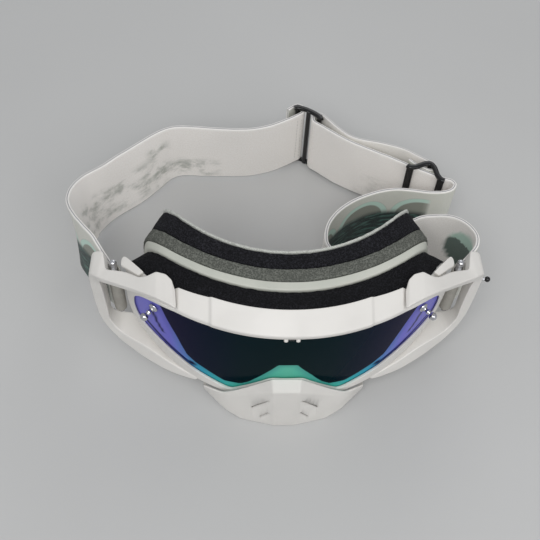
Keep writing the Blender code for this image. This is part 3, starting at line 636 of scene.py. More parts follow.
def eased_ends(sections, size):
    """Bring both ends of a bar in to a small rounded nose."""
    out = list(sections)
    for end, beside in ((0, 1), (-1, -2)):
        tip, after = sections[end], sections[beside]
        centre = sum(tip, Vector((0, 0, 0))) / len(tip)
        span = max((a - b).length for a, b in zip(tip, after))
        rows = []
        for inward, width in ((0.0, 0.55), (0.12, 0.85), (0.45, 0.97)):
            share = min(0.9, inward * size / max(span, 1e-6))
            spread = centre.lerp(sum(after, Vector((0, 0, 0))) / len(after), share)
            rows.append([spread + (p - centre) * width for p in tip])
        if end == 0:
            out = rows + out[1:]
        else:
            out = out[:-1] + list(reversed(rows))
    return out


def roughened(target, amount, size):
    """Push the surface in and out a little, as cut foam is."""
    for vert in target.data.vertices:
        at = vert.co / MM / size
        vert.co += vert.normal * noise.noise(at) * amount * MM
    return target


def turned(name, profile, base, axis, look, segments=32):
    """A turned piece: profile is (radius, distance along the axis), ends on the axis."""
    axis = Vector(axis).normalized()
    across = axis.orthogonal().normalized()
    other = axis.cross(across)
    verts, rings = [], []
    for radius, along in profile:
        centre = Vector(base) + axis * along
        first = len(verts)
        if radius == 0:
            verts.append(centre)
            rings.append([first])
            continue
        for k in range(segments):
            turn = 2 * math.pi * k / segments
            verts.append(centre + (across * math.cos(turn) + other * math.sin(turn)) * radius)
        rings.append(list(range(first, first + segments)))
    faces = []
    for low, high in zip(rings, rings[1:]):
        for k in range(segments):
            n = (k + 1) % segments
            if len(low) == 1:
                faces.append((low[0], high[k], high[n]))
            elif len(high) == 1:
                faces.append((low[k], low[n], high[0]))
            else:
                faces.append((low[k], low[n], high[n], high[k]))
    return add_mesh(name, verts, faces, look, 50.0)


def ball_profile(radius, centre, first=-60, steps=10):
    """Profile points of a ball head from below its middle to its top."""
    points = []
    for k in range(steps + 1):
        turn = math.radians(first + (90 - first) * k / steps)
        points.append((radius * math.cos(turn), centre + radius * math.sin(turn)))
    points[-1] = (0, centre + radius)
    return points


def smooth_route(points, spacing):
    """A smooth curve through the points, sampled at about the given spacing."""
    count = len(points)
    path = []
    for i in range(count - 1):
        p1, p2 = Vector(points[i]), Vector(points[i + 1])
        p0 = Vector(points[i - 1]) if i else p1 * 2 - p2
        p3 = Vector(points[i + 2]) if i + 2 < count else p2 * 2 - p1
        steps = max(1, round((p2 - p1).length / spacing))
        for k in range(steps):
            t = k / steps
            path.append(0.5 * (2 * p1 + (p2 - p0) * t + (2 * p0 - 5 * p1 + 4 * p2 - p3) * t ** 2
                               + (3 * p1 - p0 - 3 * p2 + p3) * t ** 3))
    path.append(Vector(points[-1]))
    return path


def clamped(value):
    return max(0.0, min(1.0, value))


def sided(name, side):
    return name + ("_right" if side > 0 else "_left")


# ---- frame pieces

def make_front_frame(look):
    lip, front, rear = [closed_outline(keys, LIP) for keys in (LIP, FRAME_FRONT, FRAME_REAR)]
    groove = inset(lip, -(LENS_TUCK + GAP))
    radii = (0.5, 0.9, 0.8, 0.5, 0.2, 0.2)
    sections = []
    for p, f, r, g in zip(lip, front, rear, groove):
        w = p.lerp(r, FRAME_HOLLOW)
        edge = on_lens(r, r[2])
        sections.append(rounded([
            on_lens(p, -(1.1 + 0.3 * f[2])), on_lens(f, -f[2]), edge, (w[0], edge[1], w[1]),
            on_lens(g, -LIP_GAP), on_lens(p, -LIP_GAP)], radii))
    made = even_normals(loft("frame_shell", sections, look, True))
    stand_for(made, "frame_white", "front_frame")


def segment_distance(x, z, line):
    """Least distance in millimetres from a point to a polyline."""
    best = 1e9
    for (ax, az), (bx, bz) in zip(line, line[1:]):
        dx, dz = bx - ax, bz - az
        t = clamped(((x - ax) * dx + (z - az) * dz) / (dx * dx + dz * dz))
        best = min(best, math.hypot(x - ax - dx * t, z - az - dz * t))
    return best


def height_at(line, x):
    for a, b in zip(line, line[1:]):
        if a[0] <= x <= b[0]:
            return a[1] + (b[1] - a[1]) * (x - a[0]) / max(b[0] - a[0], 1e-9)
    return line[-1][1]


def make_lens(look):
    """The lens as a fine grid, with the distances that its coating is painted by."""
    edge = inset(closed_outline(LIP, LIP), -LENS_TUCK)
    right = edge[:len(edge) // 2 + 1]
    widest = max(range(len(right)), key=lambda i: right[i][0])
    top, low = right[:widest + 1], list(reversed(right[widest:]))
    reach = right[widest][0] - 0.25
    columns = math.ceil(2 * reach / LENS_COLUMN)
    verts, faces, points = [], [], []
    for behind in (0.0, LENS_THICK):
        for i in range(columns + 1):
            x = -reach + 2 * reach * i / columns
            high, bottom = height_at(top, abs(x)), height_at(low, abs(x))
            for k in range(LENS_ROWS + 1):
                z = bottom + (high - bottom) * k / LENS_ROWS
                verts.append((x, lens_y(x, z) + behind, z))
                points.append((abs(x), z))
    rows = LENS_ROWS + 1
    rear = (columns + 1) * rows
    for i in range(columns):
        for k in range(LENS_ROWS):
            a = i * rows + k
            faces.append((a, a + rows, a + rows + 1, a + 1))
            faces.append((rear + a, rear + a + 1, rear + a + rows + 1, rear + a + rows))
    border = [i * rows for i in range(columns + 1)]
    border += [columns * rows + k for k in range(1, rows)]
    border += [i * rows + LENS_ROWS for i in reversed(range(columns))]
    border += [k for k in reversed(range(1, LENS_ROWS))]
    for i, a in enumerate(border):
        b = border[(i + 1) % len(border)]
        faces.append((a, b, rear + b, rear + a))
    made = add_mesh("lens_shell", verts, faces, look, 60.0)
    bands, streaks = [], []
    for x, z in points:
        away = segment_distance(x, z, REFLECTION_EDGE)
        below = x > REFLECTION_EDGE[-1][0] or z < height_at(REFLECTION_EDGE, x)
        bands.append(away if below else -away)
        streak = 0.0
        for line, width in zip(STREAKS, (1.1, 0.8)):
            streak = max(streak, 1.0 - max(0.0, segment_distance(x, z, line) - width * 0.5) / width)
        streak = max(streak, 1.0 - max(0.0, math.dist((x, z), KNOT) - 1.5) / 1.5)
        streaks.append(max(0.0, streak))
    add_values(made, "side", [p[0] for p in points])
    add_values(made, "band", bands)
    add_values(made, "streak", streaks)
    stand_for(made, "mirror_lens", "lens")


def without_brow_steps(keys):
    return [keys[0], keys[2]] + keys[4:]


def make_inner_frame(look):
    lip = closed_outline(without_brow_steps(LIP), FLANGE_OUTER)
    outer = closed_outline(FLANGE_OUTER, FLANGE_OUTER)
    inner = closed_outline(FLANGE_INNER, FLANGE_OUTER)
    ahead = LENS_THICK + GAP
    sections = []
    for p, o, i in zip(lip, outer, inner):
        land = p + (i - p).normalized() * INNER_LAND
        sections.append(rounded([
            on_lens(land, ahead), on_lens(p, ahead),
            on_layer(FLANGE_REAR, o.lerp(i, WALL_ROOT), -FLANGE_THICK),
            on_layer(FLANGE_REAR, o, -FLANGE_THICK), on_layer(FLANGE_REAR, o),
            on_layer(FLANGE_REAR, i)], (0.3, 0.4, 0.8, 1.0, 0.7, 1.0)))
    made = even_normals(loft("inner_frame_shell", sections, look, True))
    stand_for(made, "rim_grey", "inner_frame")


def make_foam_layer(name, node, front, rear, shares, look, slot, radii, rough):
    """One layer of the face foam; a share of 0 has the flange's outline, 1 the face's."""
    flange, face, hole = [
        closed_outline(keys, FLANGE_OUTER) for keys in (FLANGE_OUTER, FACE_OUTER, FLANGE_INNER)]
    sections = []
    for a, b, h in zip(flange, face, hole):
        f, r = a.lerp(b, shares[0]), a.lerp(b, shares[1])
        sections.append(rounded([
            on_layer(front, h, LAYER_GAP), on_layer(front, f, LAYER_GAP),
            on_layer(rear, r), on_layer(rear, h)], radii, steps=4, fill=3))
    made = roughened(loft(name, sections, look, True, 70.0), *rough)
    stand_for(made, slot, node)


def make_vent_foam(name, node, top, look):
    """Open-cell foam strip between the frame's rear edge and the flange."""
    lip, rear, flange, hole = [
        closed_outline(keys, FLANGE_OUTER) for keys in (
            without_brow_steps(LIP), without_brow_steps(FRAME_REAR), FLANGE_OUTER, FLANGE_INNER)]
    count = len(rear)
    low_box, high_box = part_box(node)
    sections = []
    order = range(-(count // 2), count // 2) if top else range(count)
    for i in order:
        p, r, o, h = [loop[i % count] for loop in (lip, rear, flange, hole)]
        middle = Vector(((r[0] + o[0]) / 2, 0, (r[1] + o[1]) / 2))
        lowest, highest = low_box[2] / MM + VENT_END, high_box[2] / MM - VENT_END
        kept = middle[2] > lowest if top else middle[2] < highest
        if not kept:
            continue
        frame_y = lens_y(r[0], r[1]) + r[2] + VENT_GAP
        at_frame = Vector((p[0] - r[0], p[1] - r[1])).normalized()
        at_flange = (h - o).normalized()
        near, far = VENT_INSET, VENT_INSET + VENT_THICK
        section = [on_layer(FLANGE_REAR, o + at_flange * depth, -FLANGE_THICK - VENT_FLANGE_GAP)
                   for depth in (near, far)]
        for depth in (far, near):
            section.append((r[0] + at_frame[0] * depth, frame_y, r[1] + at_frame[1] * depth))
        sections.append(rounded(section, (0.4, 0.4, 0.4, 0.4), steps=2, fill=4))
    made = roughened(loft(name, sections, look, False, 70.0), 0.35, 2.6)
    stand_for(made, "black_foam", node)


def make_trim(name, side, keys, run_steps, radii, steps, nose, look, node_name):
    """A moulded bar of the frame: a key is (its four corners on the right side, corner size)."""
    lines = []
    for pick in range(4):
        line = [(corners[pick][0] * side, *corners[pick][1:], size) for corners, size in keys]
        lines.append(corner_path(line, 5, run_steps))
    sections = [rounded(corners, radii, steps) for corners in zip(*lines)]
    made = loft(sided(name, side), eased_ends(sections, nose), look, False)
    stand_for(even_normals(made), "frame_white", sided(node_name, side))


def make_outrigger(side, look):
    keys = []
    for outer, inner, step, size in OUTRIGGER:
        outer, inner, step = Vector(outer), Vector(inner), Vector((*step, 0))
        keys.append(((outer, outer + step, inner + step, inner), size))
    run_steps = run_steps_of([outer for outer, *_ in OUTRIGGER], TRIM_STEP)
    make_trim("outrigger_shell", side, keys, run_steps, (0.9, 0.9, 0.7, 0.7), 4, 2.0, look,
              "outrigger")


def make_side_fin(side, look):
    down = Vector((0, 0, -SIDE_FIN_THICK))
    keys = []
    for inner, outer, size in SIDE_FIN:
        inner, outer = Vector(inner), Vector(outer)
        keys.append(((inner + down, inner, outer, outer + down), size))
    make_trim("fin_shell", side, keys, [3, 3, 2], (0.4, 0.6, 0.6, 0.4), 3, 0.8, look, "side_fin")


# ---- nose guard

def make_nose_guard(look):
    lines = [[] for _ in range(8)]
    for side in (-1, 1):
        columns = GUARD_COLUMNS if side > 0 else list(reversed(GUARD_COLUMNS))
        for top, crease, low, (rearward, down), size in columns:
            ledge = GUARD_LEDGE if low[2] < 1.0 else 3.0
            wall = GUARD_WALL if top[0] < 20 else GUARD_WALL * 0.62
            points = [
                low, crease, top,
                (top[0], top[1] + rearward, top[2] - down),
                (crease[0], crease[1] + wall, crease[2] - 0.6),
                (low[0], low[1] + wall, low[2] + 2.0),
                (low[0], low[1] + ledge, low[2] + 2.0),
                (low[0], low[1] + ledge, low[2]),
            ]
            for line, p in zip(lines, points):
                line.append((p[0] * side, p[1], p[2], size))
    steps = [4, 4, 7, 5, 7, 4, 4]
    paths = [corner_path(keys, 4, steps) for keys in lines]
    radii = (0.7, 0.8, 0.5, 0.5, 0.6, 0.5, 0.5, 0.5)
    sections = [rounded(corners, radii, steps=3) for corners in zip(*paths)]
    made = loft("nose_guard_shell", sections, look, False)
    cut_slots(made, look)
    even_normals(made)
    stand_for(made, "frame_white", "nose_guard", body="nose_guard")


def cut_slots(target, look):
    """Cut the long round-ended vent slots through the guard's side facets."""
    cutters = []
    for number, (start, end) in enumerate(GUARD_SLOTS):
        for side in (-1, 1):
            a, b = Vector((start[0] * side, 0, start[1])), Vector((end[0] * side, 0, end[1]))
            run = (b - a).normalized()
            across = run.cross(Vector((0, 1, 0)))
            outline = []
            for centre, facing in ((a, -1), (b, 1)):
                for k in range(9):
                    turn = math.radians(-90 + 180 * k / 8)
                    out = run * facing * math.cos(turn) + across * facing * math.sin(turn)
                    outline.append(centre + out * SLOT_WIDTH / 2)
            sections = [[p + Vector((0, y, 0)) for p in outline] for y in SLOT_DEPTHS]
            cutters.append(loft(sided(f"slot_cutter_{number}", side), sections, look, False))
    for cutter in cutters:
        cut = target.modifiers.new("slot", "BOOLEAN")
        cut.operation = "DIFFERENCE"
        cut.solver = "EXACT"
        cut.object = cutter
        apply_modifiers(target)
        bpy.data.objects.remove(cutter, do_unlink=True)


def apply_modifiers(target):
    graph = bpy.context.evaluated_depsgraph_get()
    finished = bpy.data.meshes.new_from_object(target.evaluated_get(graph))
    target.modifiers.clear()
    target.data = finished


# ---- strap

def ribbon_profile(width, thick):
    """(across, depth, edge share) round a strap's section, from its outer face at the foot."""
    half = thick / 2
    columns = max(6, round(width / 3.0))
    face = [1.0 + (width - 2.0) * k / columns for k in range(columns + 1)]
    edge = [(0.45, 0.97, 0.5), (0.12, 0.75, 1.0), (0.0, 0.35, 1.0), (0.0, 0.0, 1.0)]
    profile = [(u, half, 0.0) for u in face]
    profile += [(width - u, half * d, e) for u, d, e in edge]
    profile += [(width - u, -half * d, e) for u, d, e in reversed(edge[:-1])]
    profile += [(u, -half, 0.0) for u in reversed(face)]
    profile += [(u, -half * d, e) for u, d, e in edge]
    profile += [(u, half * d, e) for u, d, e in reversed(edge[:-1])]
    return profile


def ribbon_frames(path, hand, width):
    """For each route point: distance along, top edge, upward and outward directions."""
    frames = []
    run = 0.0
    for i, p in enumerate(path):
        if i:
            run += (Vector(p[:3]) - Vector(path[i - 1][:3])).length
        before, after = path[max(i - 1, 0)], path[min(i + 1, len(path) - 1)]
        along = Vector((after[0] - before[0], after[1] - before[1], 0)).normalized()
        outward = Vector((-along[1], along[0], 0)) * hand
        fall = math.sqrt(width * width - p[3] * p[3])
        up = (outward * p[3] + Vector((0, 0, fall))) / width
        frames.append((run, Vector((p[0], p[1], p[2])), up, outward))
    return frames


def ribbon(name, path, hand, width, thick, look, wave=0.0, seed=0.0):
    """Webbing on edge; hand is 1 where its outer face is on the left of its run."""
    frames = ribbon_frames(path, hand, width)
    profile = ribbon_profile(width, thick)
    sections, along, across, depth, edge = [], [], [], [], []
    for run, top, up, outward in frames:
        section = []
        for u, d, e in profile:
            ripple = noise.noise(Vector((run / 17, u / 26, seed))) * wave
            ripple += noise.noise(Vector((run / 5, u / 9, seed + 7))) * wave * 0.25
            section.append(top - up * (width - u) + outward * (d + ripple))
            along.append(run)
            across.append(u)
            depth.append(d / (thick / 2))
            edge.append(e)
        sections.append(section)
    made = loft(name, sections, look, False, 70.0)
    for title, values in (("along", along), ("across", across), ("depth", depth), ("edge", edge)):
        add_values(made, title, values)
    return made, frames, along, across


def window(value, start, end, soft):
    """1 between start and end, falling to 0 over the soft distance outside them."""
    return clamped((value - start) / soft + 1.0) * clamped((end - value) / soft + 1.0)


def add_markings(target, along, across, blotches, printed, patch):
    """Where the strap has darker blotches, print and a printed patch, along its length."""
    blotch_amounts, prints, patches = [], [], []
    for s, u in zip(along, across):
        amount = 0.0
        for start, end, low, high, strength in blotches:
            amount = max(amount, window(s, start, end, 6.0) * window(u, low, high, 5.0) * strength)
        blotch_amounts.append(amount)
        prints.append(window(s, printed[0], printed[1], 1.5) if printed else 0.0)
        patches.append(clamped((patch[2] - math.dist((s, u), patch[:2])) / 1.5) if patch else 0.0)
    add_values(target, "blotches", blotch_amounts)
    add_values(target, "print", prints)
    add_values(target, "patch", patches)


def along_frame(centre, run, along, across):
    """The (x, y) place at a distance along and across a direction from a centre."""
    x, y = centre
    return x + run[0] * along - run[1] * across, y + run[1] * along + run[0] * across


def turn_round_bar(centre, run, bar_at, offset, radius, first, last, steps):
    """Places of webbing that turns round a bar of a fitting."""
    places = []
    for k in range(steps + 1):
        turn = math.radians(first + (last - first) * k / steps)
        places.append(along_frame(centre, run, bar_at + radius * math.cos(turn),
                                  offset + radius * math.sin(turn)))
    return places


def strap_path(route, top=STRAP_TOP, spacing=2.0):
    """A smooth path of (x, y, top edge, lean), from route points that may lack the last two."""
    return smooth_route([(*p, *(top, 0.0)[len(p) - 2:]) for p in route], spacing)


def stitches(name, frames, rows, low, high, face, look):
    """Rows of thread across a strap, at distances along it; face is 1 on its outer side."""
    verts, faces = [], []

    def spot(run, u):
        """Place on the strap's face, and the strap's outward direction there."""
        (s0, t0, up0, out0), (s1, t1, up1, out1) = next(
            pair for pair in zip(frames, frames[1:]) if pair[0][0] <= run <= pair[1][0])
        t = (run - s0) / max(s1 - s0, 1e-6)
        out = out0.lerp(out1, t)
        lift = out * (face * (STRAP_THICK / 2 + STITCH_LIFT))
        return t0.lerp(t1, t) - up0.lerp(up1, t) * (STRAP_WIDTH - u) + lift, out

    def add_stitch(a, b, out):
        """A short fat thread from a to b that bows away from the cloth."""
        run = (b - a).normalized()
        side = run.cross(out).normalized()
        first = len(verts)
        for k in range(5):
            t = k / 4
            bow = math.sin(math.pi * t)
            centre = a.lerp(b, t) + out * STITCH_BOW * bow
            for c in range(6):
                turn = 2 * math.pi * c / 6
                size = STITCH_RADIUS * (0.35 + 0.65 * bow)
                verts.append(centre + (side * math.cos(turn) + out * math.sin(turn)) * size)
        for k in range(4):
            for c in range(6):
                n = (c + 1) % 6
                at = first + k * 6
                faces.append((at + c, at + n, at + 6 + n, at + 6 + c))
        faces.append(tuple(first + c for c in reversed(range(6))))
        faces.append(tuple(first + 24 + c for c in range(6)))

    count = max(1, round((high - low) / STITCH_PITCH))
    for row in rows:
        for k in range(count):
            a, out = spot(row, low + (high - low) * (k + 0.14) / count)
            b, _ = spot(row, low + (high - low) * (k + 0.86) / count)
            add_stitch(a, b, out * face)
    return add_mesh(name, verts, faces, look, 60.0)


def join(piece, body, start, end, *nodes):
    """Hide the CAD nodes that the webbing replaces and bake its placement into its mesh; body, start and
    end are not used.
    """
    if nodes:
        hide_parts(*nodes)
    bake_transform(piece)


def make_strap(side, route, wave, seed, wear, look, thread_look, tail_rows=()):
    """A strap from its end loop to the ring; tail_rows are stitch rows before its far end."""
    name = sided("strap", side)
    made, frames, along, across = ribbon(
        name + "_webbing", strap_path(route), -side, STRAP_WIDTH, STRAP_THICK, look, wave, seed)
    add_markings(made, along, across, *wear)
    swing = (sided("end_loop", side), (0.090 * side, 0.068, 0.05), (0.090 * side, 0.0545, 0.05))
    join(made, *swing, name)
    if tail_rows:
        rows = [frames[-1][0] - back for back in tail_rows]
        sewn = stitches(name + "_stitches", frames, rows, 4.0, 39.0, -1, thread_look)
        stand_for(sewn, "strap_webbing")
    sewn = stitches(name + "_end_stitches", frames, (2.6, 5.2), 11.0, 40.0, 1, thread_look)
    join(sewn, *swing)


def make_left_strap(look, thread_look):
    bar = along_frame(RING_AT, RING_RUN, -RING_PITCH, 0.0)
    turn = turn_round_bar(bar, LOOP_RUN, 0.0, 0.0, LOOP_RADIUS, -90, 90, 10)
    tail = [along_frame(bar, LOOP_RUN, *at) for at in ((-3.0, 3.2), (-5.0, 3.0))]
    # Darker blotches on the inner face, low on the strap: (from, to along, lowest, highest across,
    # strength)
    blotches = [(62.0, 122.0, 6.0, 24.0, 0.85), (128.0, 135.0, 4.0, 32.0, 1.0),
            (136.0, 165.0, 4.0, 13.0, 0.9)]
    make_strap(-1, STRAP_LEFT_ROUTE + turn + tail, 0.5, 1.0, (blotches, (5.0, 38.0), None),
               look, thread_look, (16.0, 18.5))


def make_right_strap(look, thread_look):
    lead = along_frame(RING_AT, RING_RUN, RING_PITCH + 1.0, -LOOP_RADIUS)
    turn = turn_round_bar(RING_AT, RING_RUN, RING_PITCH, 0.0, LOOP_RADIUS, -90, -270, 10)
    # Faint darker blotches low on the inner face, the print's stretch along the strap, and the printed
    # patch (along, across, radius)
    wear = ([(150.0, 260.0, 4.0, 18.0, 0.35)], (118.0, 190.0), (24.0, 20.0, 17.0))
    make_strap(1, STRAP_RIGHT_ROUTE + [lead] + turn[1:], 0.45, 5.0, wear, look, thread_look)


def make_return_layer(look):
    """The strap's run back from the ring, which folds round the slider's centre bar."""
    ahead = along_frame(RING_AT, RING_RUN, RING_PITCH + 0.2, LOOP_RADIUS)
    near, back = [[along_frame(SLIDER_AT, SLIDER_RUN, *at) for at in places] for places in (
        ((18.0, -9.1), (8.0, -8.2)), ((4.0, -2.3), (8.0, -2.6), (12.0, -3.9)))]
    fold = turn_round_bar(SLIDER_AT, SLIDER_RUN, 0.0, SLIDER_CENTRE, FOLD_RADIUS, 270, 90, 8)
    path = strap_path([ahead] + STRAP_RETURN_ROUTE + near + fold + back)
    made, _, along, across = ribbon("strap_return_webbing", path, 1, STRAP_WIDTH, RETURN_THICK,
                                    look, 0.2, 9.0)
    add_markings(made, along, across, [], None, None)
    far, close = [along_frame(SLIDER_AT, SLIDER_RUN, a, -7.0) for a in (58.0, 18.0)]
    join(made, "slider", (far[0] * MM, far[1] * MM, 0.025), (close[0] * MM, close[1] * MM, 0.025),
         "strap_return_layer", "strap_slider_fold")


def make_end_loop(side, look):
    """Tape that wraps the pin as a teardrop, with the strap's end sewn between its tails."""
    centre = (PIN_X * side, PIN_Y)
    run = Vector((3.0 * side, 5.4)).normalized()
    tail = ((5.2, 1.58), (4.4, 1.62), (3.2, 1.9))
    front = [along_frame(centre, run, a, c) for a, c in tail]
    rear = [along_frame(centre, run, a, -c) for a, c in reversed(tail)]
    turn = turn_round_bar(centre, run, 0.0, 0.0, TAPE_RADIUS, 90, 270, 12)
    path = strap_path(front + turn + rear, TAPE_TOP, 0.9)
    made = ribbon(sided("end_loop_tape", side), path, -1, TAPE_WIDTH, TAPE_THICK, look)[0]
    stand_for(made, "webbing_grey", sided("strap_end_loop", side), body=sided("end_loop", side))


def swept_bar(name, path, across, wide, high, corner, look):
    """A rounded bar swept along 3-D points, kept square to a fixed direction."""
    rows = []
    for i, p in enumerate(path):
        run = (path[min(i + 1, len(path) - 1)] - path[max(i - 1, 0)]).normalized()
        w, h = across * (wide / 2), run.cross(across).normalized() * (high / 2)
        rows.append(rounded([p + w + h, p - w + h, p - w - h, p + w - h], (corner,) * 4))
    return loft(name, rows, look, False, 50.0)


def make_fitting(name, body, node_name, centre, run, plan, bars, look):
    """An upright fitting: rails over a plan of (along, across) places, and bars between them.

    A bar is (along, across, width, depth).
    """
    pieces = []
    for title, level in (("low", RAIL_IN), ("high", RING_HEIGHT - RAIL_IN)):
        arch = smooth_route([(*along_frame(centre, run, *at), level) for at in plan], 0.9)
        upright = Vector((0, 0, 1))
        pieces.append(swept_bar(f"{name}_rail_{title}", arch, upright, 2.0, 2.8, 0.8, look))
    for number, (along, across, wide, high) in enumerate(bars, 1):
        x, y = along_frame(centre, run, along, across)
        line = [Vector((x, y, z)) for z in (0.4, 6.0, 15.0, 24.0, 33.0, 42.0, RING_HEIGHT - 0.4)]
        side = Vector((-run[1], run[0], 0)).normalized()
        pieces.append(swept_bar(f"{name}_bar_{number}", line, side, wide, high, 0.7, look))
    stand_for(pieces[0], "black_plastic", node_name, body=body)
    for piece in pieces[1:]:
        stand_for(piece, "black_plastic", body=body)


def make_ring(look):
    """Double-slot ring: arched rails and three bars, with the straps round the end bars."""
    half = RING_PITCH
    plan = [(-half - 1.6, -1.6), (-half, -0.3), (-half / 2, 0.5), (0.0, 0.7),
            (half / 2, 0.5), (half, -0.3), (half + 1.6, -1.6)]
    bars = [(along, 0.0, 2.4, 2.4) for along in (-half, 0.0, half)]
    make_fitting("ring", "frame", "strap_ring", RING_AT, RING_RUN, plan, bars, look)


def make_slider(look):
    """Tri-glide slider: two end bars and a set-back centre bar between arched rails."""
    half = [(3.0, -3.2), (6.2, 0.6), (SLIDER_PITCH, SLIDER_END), (11.0, 2.2)]
    plan = [(-a, c) for a, c in reversed(half)] + [(0.0, SLIDER_CENTRE)] + half
    bars = ((-SLIDER_PITCH, SLIDER_END, 2.1, SLIDER_BAR), (0.0, SLIDER_CENTRE, 2.1, 2.5),
            (SLIDER_PITCH, SLIDER_END, 2.1, SLIDER_BAR))
    make_fitting("slider", "slider", "strap_slider", SLIDER_AT, SLIDER_RUN, plan, bars, look)


# ---- pins, posts and pegs

def make_strap_pin(side, chrome):
    profile = [(0, 0.2), (1.3, 0.2), (1.5, 0.5), (1.5, 42.6), (1.15, 43.0), (1.15, 43.4)]
    profile += ball_profile(1.95, 45.2, -50)
    base = (PIN_X * side, PIN_Y, 34.0)
    made = turned(sided("pin_turned", side), profile, base, (0, 0, 1), chrome)
    stand_for(made, "chrome", sided("strap_pin", side))


def make_tear_off_post(side, chrome):
    x, z = TEAR_OFF_PLACE
    lean = math.asin(x / LENS_RADIUS)
    normal = (math.sin(lean) * side, -math.cos(lean), 0)
    profile = [(0, 0.5), (2.3, 0.5), (2.4, 0.8), (2.2, 1.4), (1.3, 1.8), (1.05, 2.3), (1.0, 3.4),
               (1.25, 3.7), (1.25, 4.2), (1.0, 4.5), (1.0, 5.6)]
    profile += ball_profile(1.95, 7.1, -55)
    base = (x * side, lens_y(x, z) - 0.1, z)
    made = turned(sided("tear_off_turned", side), profile, base, normal, chrome)
    stand_for(made, "chrome", sided("tear_off_post", side))


def make_outrigger_post(chrome, black):
    base, axis = (95.3, 44.4, 67.4), (1, -0.1, 0)
    profile = [(0, 0), (0.95, 0), (0.8, 0.4), (0.7, 1.4), (0.7, 2.0), (0, 2.0)]
    neck = turned("post_neck", profile, base, axis, chrome)
    profile = [(0, 1.6), (0.8, 1.6)] + ball_profile(1.45, 3.0)
    head = turned("post_head", profile, base, axis, black)
    stand_for(head, "chrome", "outrigger_post")
    stand_for(neck, "chrome")


def make_lens_pegs(white, black):
    for side in (-1, 1):
        profile = [(0, 0), (1.0, 0), (1.0, 1.3), (0.85, 1.65), (0.5, 1.85), (0, 1.9)]
        made = turned(sided("peg_turned", side), profile, (2.7 * side, -0.3, 91.2), (0, -1, 0), white, 24)
        stand_for(made, "frame_white", sided("lens_peg", side))
    sections = []
    for x in (-1.3, -1.2, -0.4, 0.4, 1.2, 1.3):
        ease = 0.12 if abs(x) > 1.25 else 0.0
        sections.append(rounded([
            (x, -0.4 - ease, 90.7 + ease), (x, -1.5 + ease, 90.7 + ease),
            (x, -1.5 + ease, 91.9 - ease), (x, -0.4 - ease, 91.9 - ease)], (0.25,) * 4, steps=3))
    made = loft("peg_bar_rounded", sections, black, False)
    stand_for(made, "black_plastic", "lens_peg_bar")


# ---- studio

def make_floor():
    made, tree, shader = new_material("studio_floor", paint(190, 190, 189), 0.85, specular=0.2)
    tone = cloudy(tree, place(tree), 6.0, 2.0)
    tinted(tree, shader, tone, paint(186, 186, 185), paint(195, 195, 194))
    size, level = 4000.0, -0.3
    corners = [(x * size, z * size, level) for x, z in ((-1, -1), (1, -1), (1, 1), (-1, 1))]
    floor = add_mesh("floor", corners, [(0, 1, 2, 3)], made)


def add_area(name, place_m, target_m, size, power):
    light = bpy.data.lights.new(name, "AREA")
    light.shape = "DISK"
    light.size = size
    light.energy = power
    made = linked(name, light)
    made.location = place_m
    aim = Vector(target_m) - Vector(place_m)
    made.rotation_euler = aim.to_track_quat("-Z", "Y").to_euler()


def make_studio():
    middle = (0.0, 0.07, 0.04)
    add_area("key", (-0.15, -0.5, 1.0), middle, 0.55, 5.0)
    add_area("fill", (0.5, -0.6, 0.75), middle, 0.8, 2.4)
    add_area("back", (0.2, 0.9, 0.6), middle, 0.6, 1.2)
    world = bpy.data.worlds.new("studio")
    world.use_nodes = True
    back = world.node_tree.nodes["Background"]
    back.inputs["Color"].default_value = (0.9, 0.92, 0.95, 1.0)
    back.inputs["Strength"].default_value = 0.5
    bpy.context.scene.world = world
    bpy.context.scene.view_settings.view_transform = "Standard"


def make_camera():
    camera = bpy.data.cameras.new("camera")
    camera.angle = math.radians(30.88)
    made = linked("camera", camera)
    made.location = (-0.0259, -0.1976, 0.4756)
    made.rotation_euler = [math.radians(a) for a in (31.19, -1.84, -1.09)]
    bpy.context.scene.camera = made


# ---- build

make_camera()
make_studio()
make_floor()

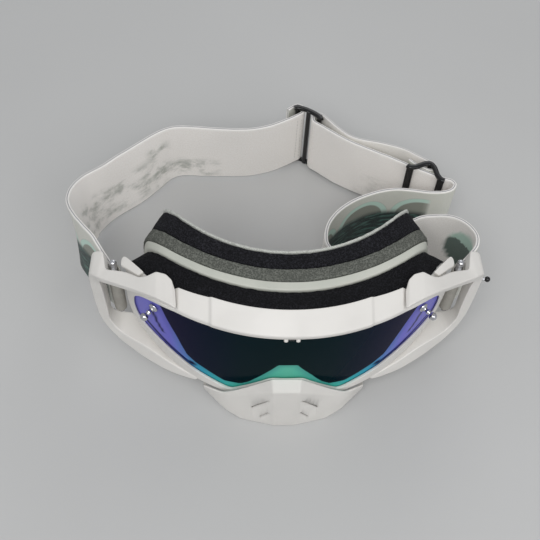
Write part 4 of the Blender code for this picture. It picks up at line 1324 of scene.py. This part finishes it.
white = moulded_plastic("frame_white", paint(222, 219, 214), paint(215, 212, 207), 0.42)
rim = moulded_plastic("rim_grey", paint(194, 195, 185), paint(185, 187, 177), 0.5)
black_foam = foam("black_foam", paint(9, 9, 12), paint(42, 42, 47), 1500.0, 0.5)
grey_foam = foam("grey_foam", paint(78, 80, 75), paint(116, 118, 111), 1300.0, 0.4)
vent_look = foam("vent_foam", paint(6, 6, 8), paint(32, 32, 36), 1500.0, 0.5)
fleece = fleece_cloth()
chrome = polished("chrome", paint(214, 214, 218), 0.1, 1.0)
black = polished("black_plastic", paint(14, 14, 16), 0.12, 0.0)
coating = mirror_coating()
strap_look = webbing("strap_webbing")
sleeve_look = sleeve_webbing()
thread_look = thread()

make_front_frame(white)
make_inner_frame(rim)
make_lens(coating)
make_lens_pegs(white, black)
make_vent_foam("vent_foam_over", "vent_foam_top", True, vent_look)
make_vent_foam("vent_foam_under", "vent_foam_bottom", False, vent_look)
make_foam_layer("face_foam_grey", "foam_grey_layer", FLANGE_REAR, GREY_REAR, (-0.1, 0.3),
                grey_foam, "grey_foam", (1.0, 1.2, 0.8, 0.8), (0.25, 2.4))
make_foam_layer("face_foam_black", "foam_black_layer", GREY_REAR, BLACK_REAR, (0.3, 0.95),
                black_foam, "black_foam", (0.8, 0.8, 1.6, 1.6), (0.3, 2.2))
make_foam_layer("face_fleece", "foam_fleece_layer", (BLACK_REAR[0] - 0.1, BLACK_REAR[1]),
                (FLEECE_REAR[0] + 0.2, FLEECE_REAR[1]), (0.93, 0.96),
                fleece, "fleece", (0.5, 0.5, 0.7, 0.7), (0.2, 1.7))
make_nose_guard(white)
for side in (-1, 1):
    make_outrigger(side, white)
    make_side_fin(side, white)
    make_strap_pin(side, chrome)
    make_end_loop(side, sleeve_look)
    make_tear_off_post(side, chrome)
make_outrigger_post(chrome, black)
make_left_strap(strap_look, thread_look)
make_right_strap(strap_look, thread_look)
make_return_layer(strap_look)
make_ring(black)
make_slider(black)

bpy.context.view_layer.update()
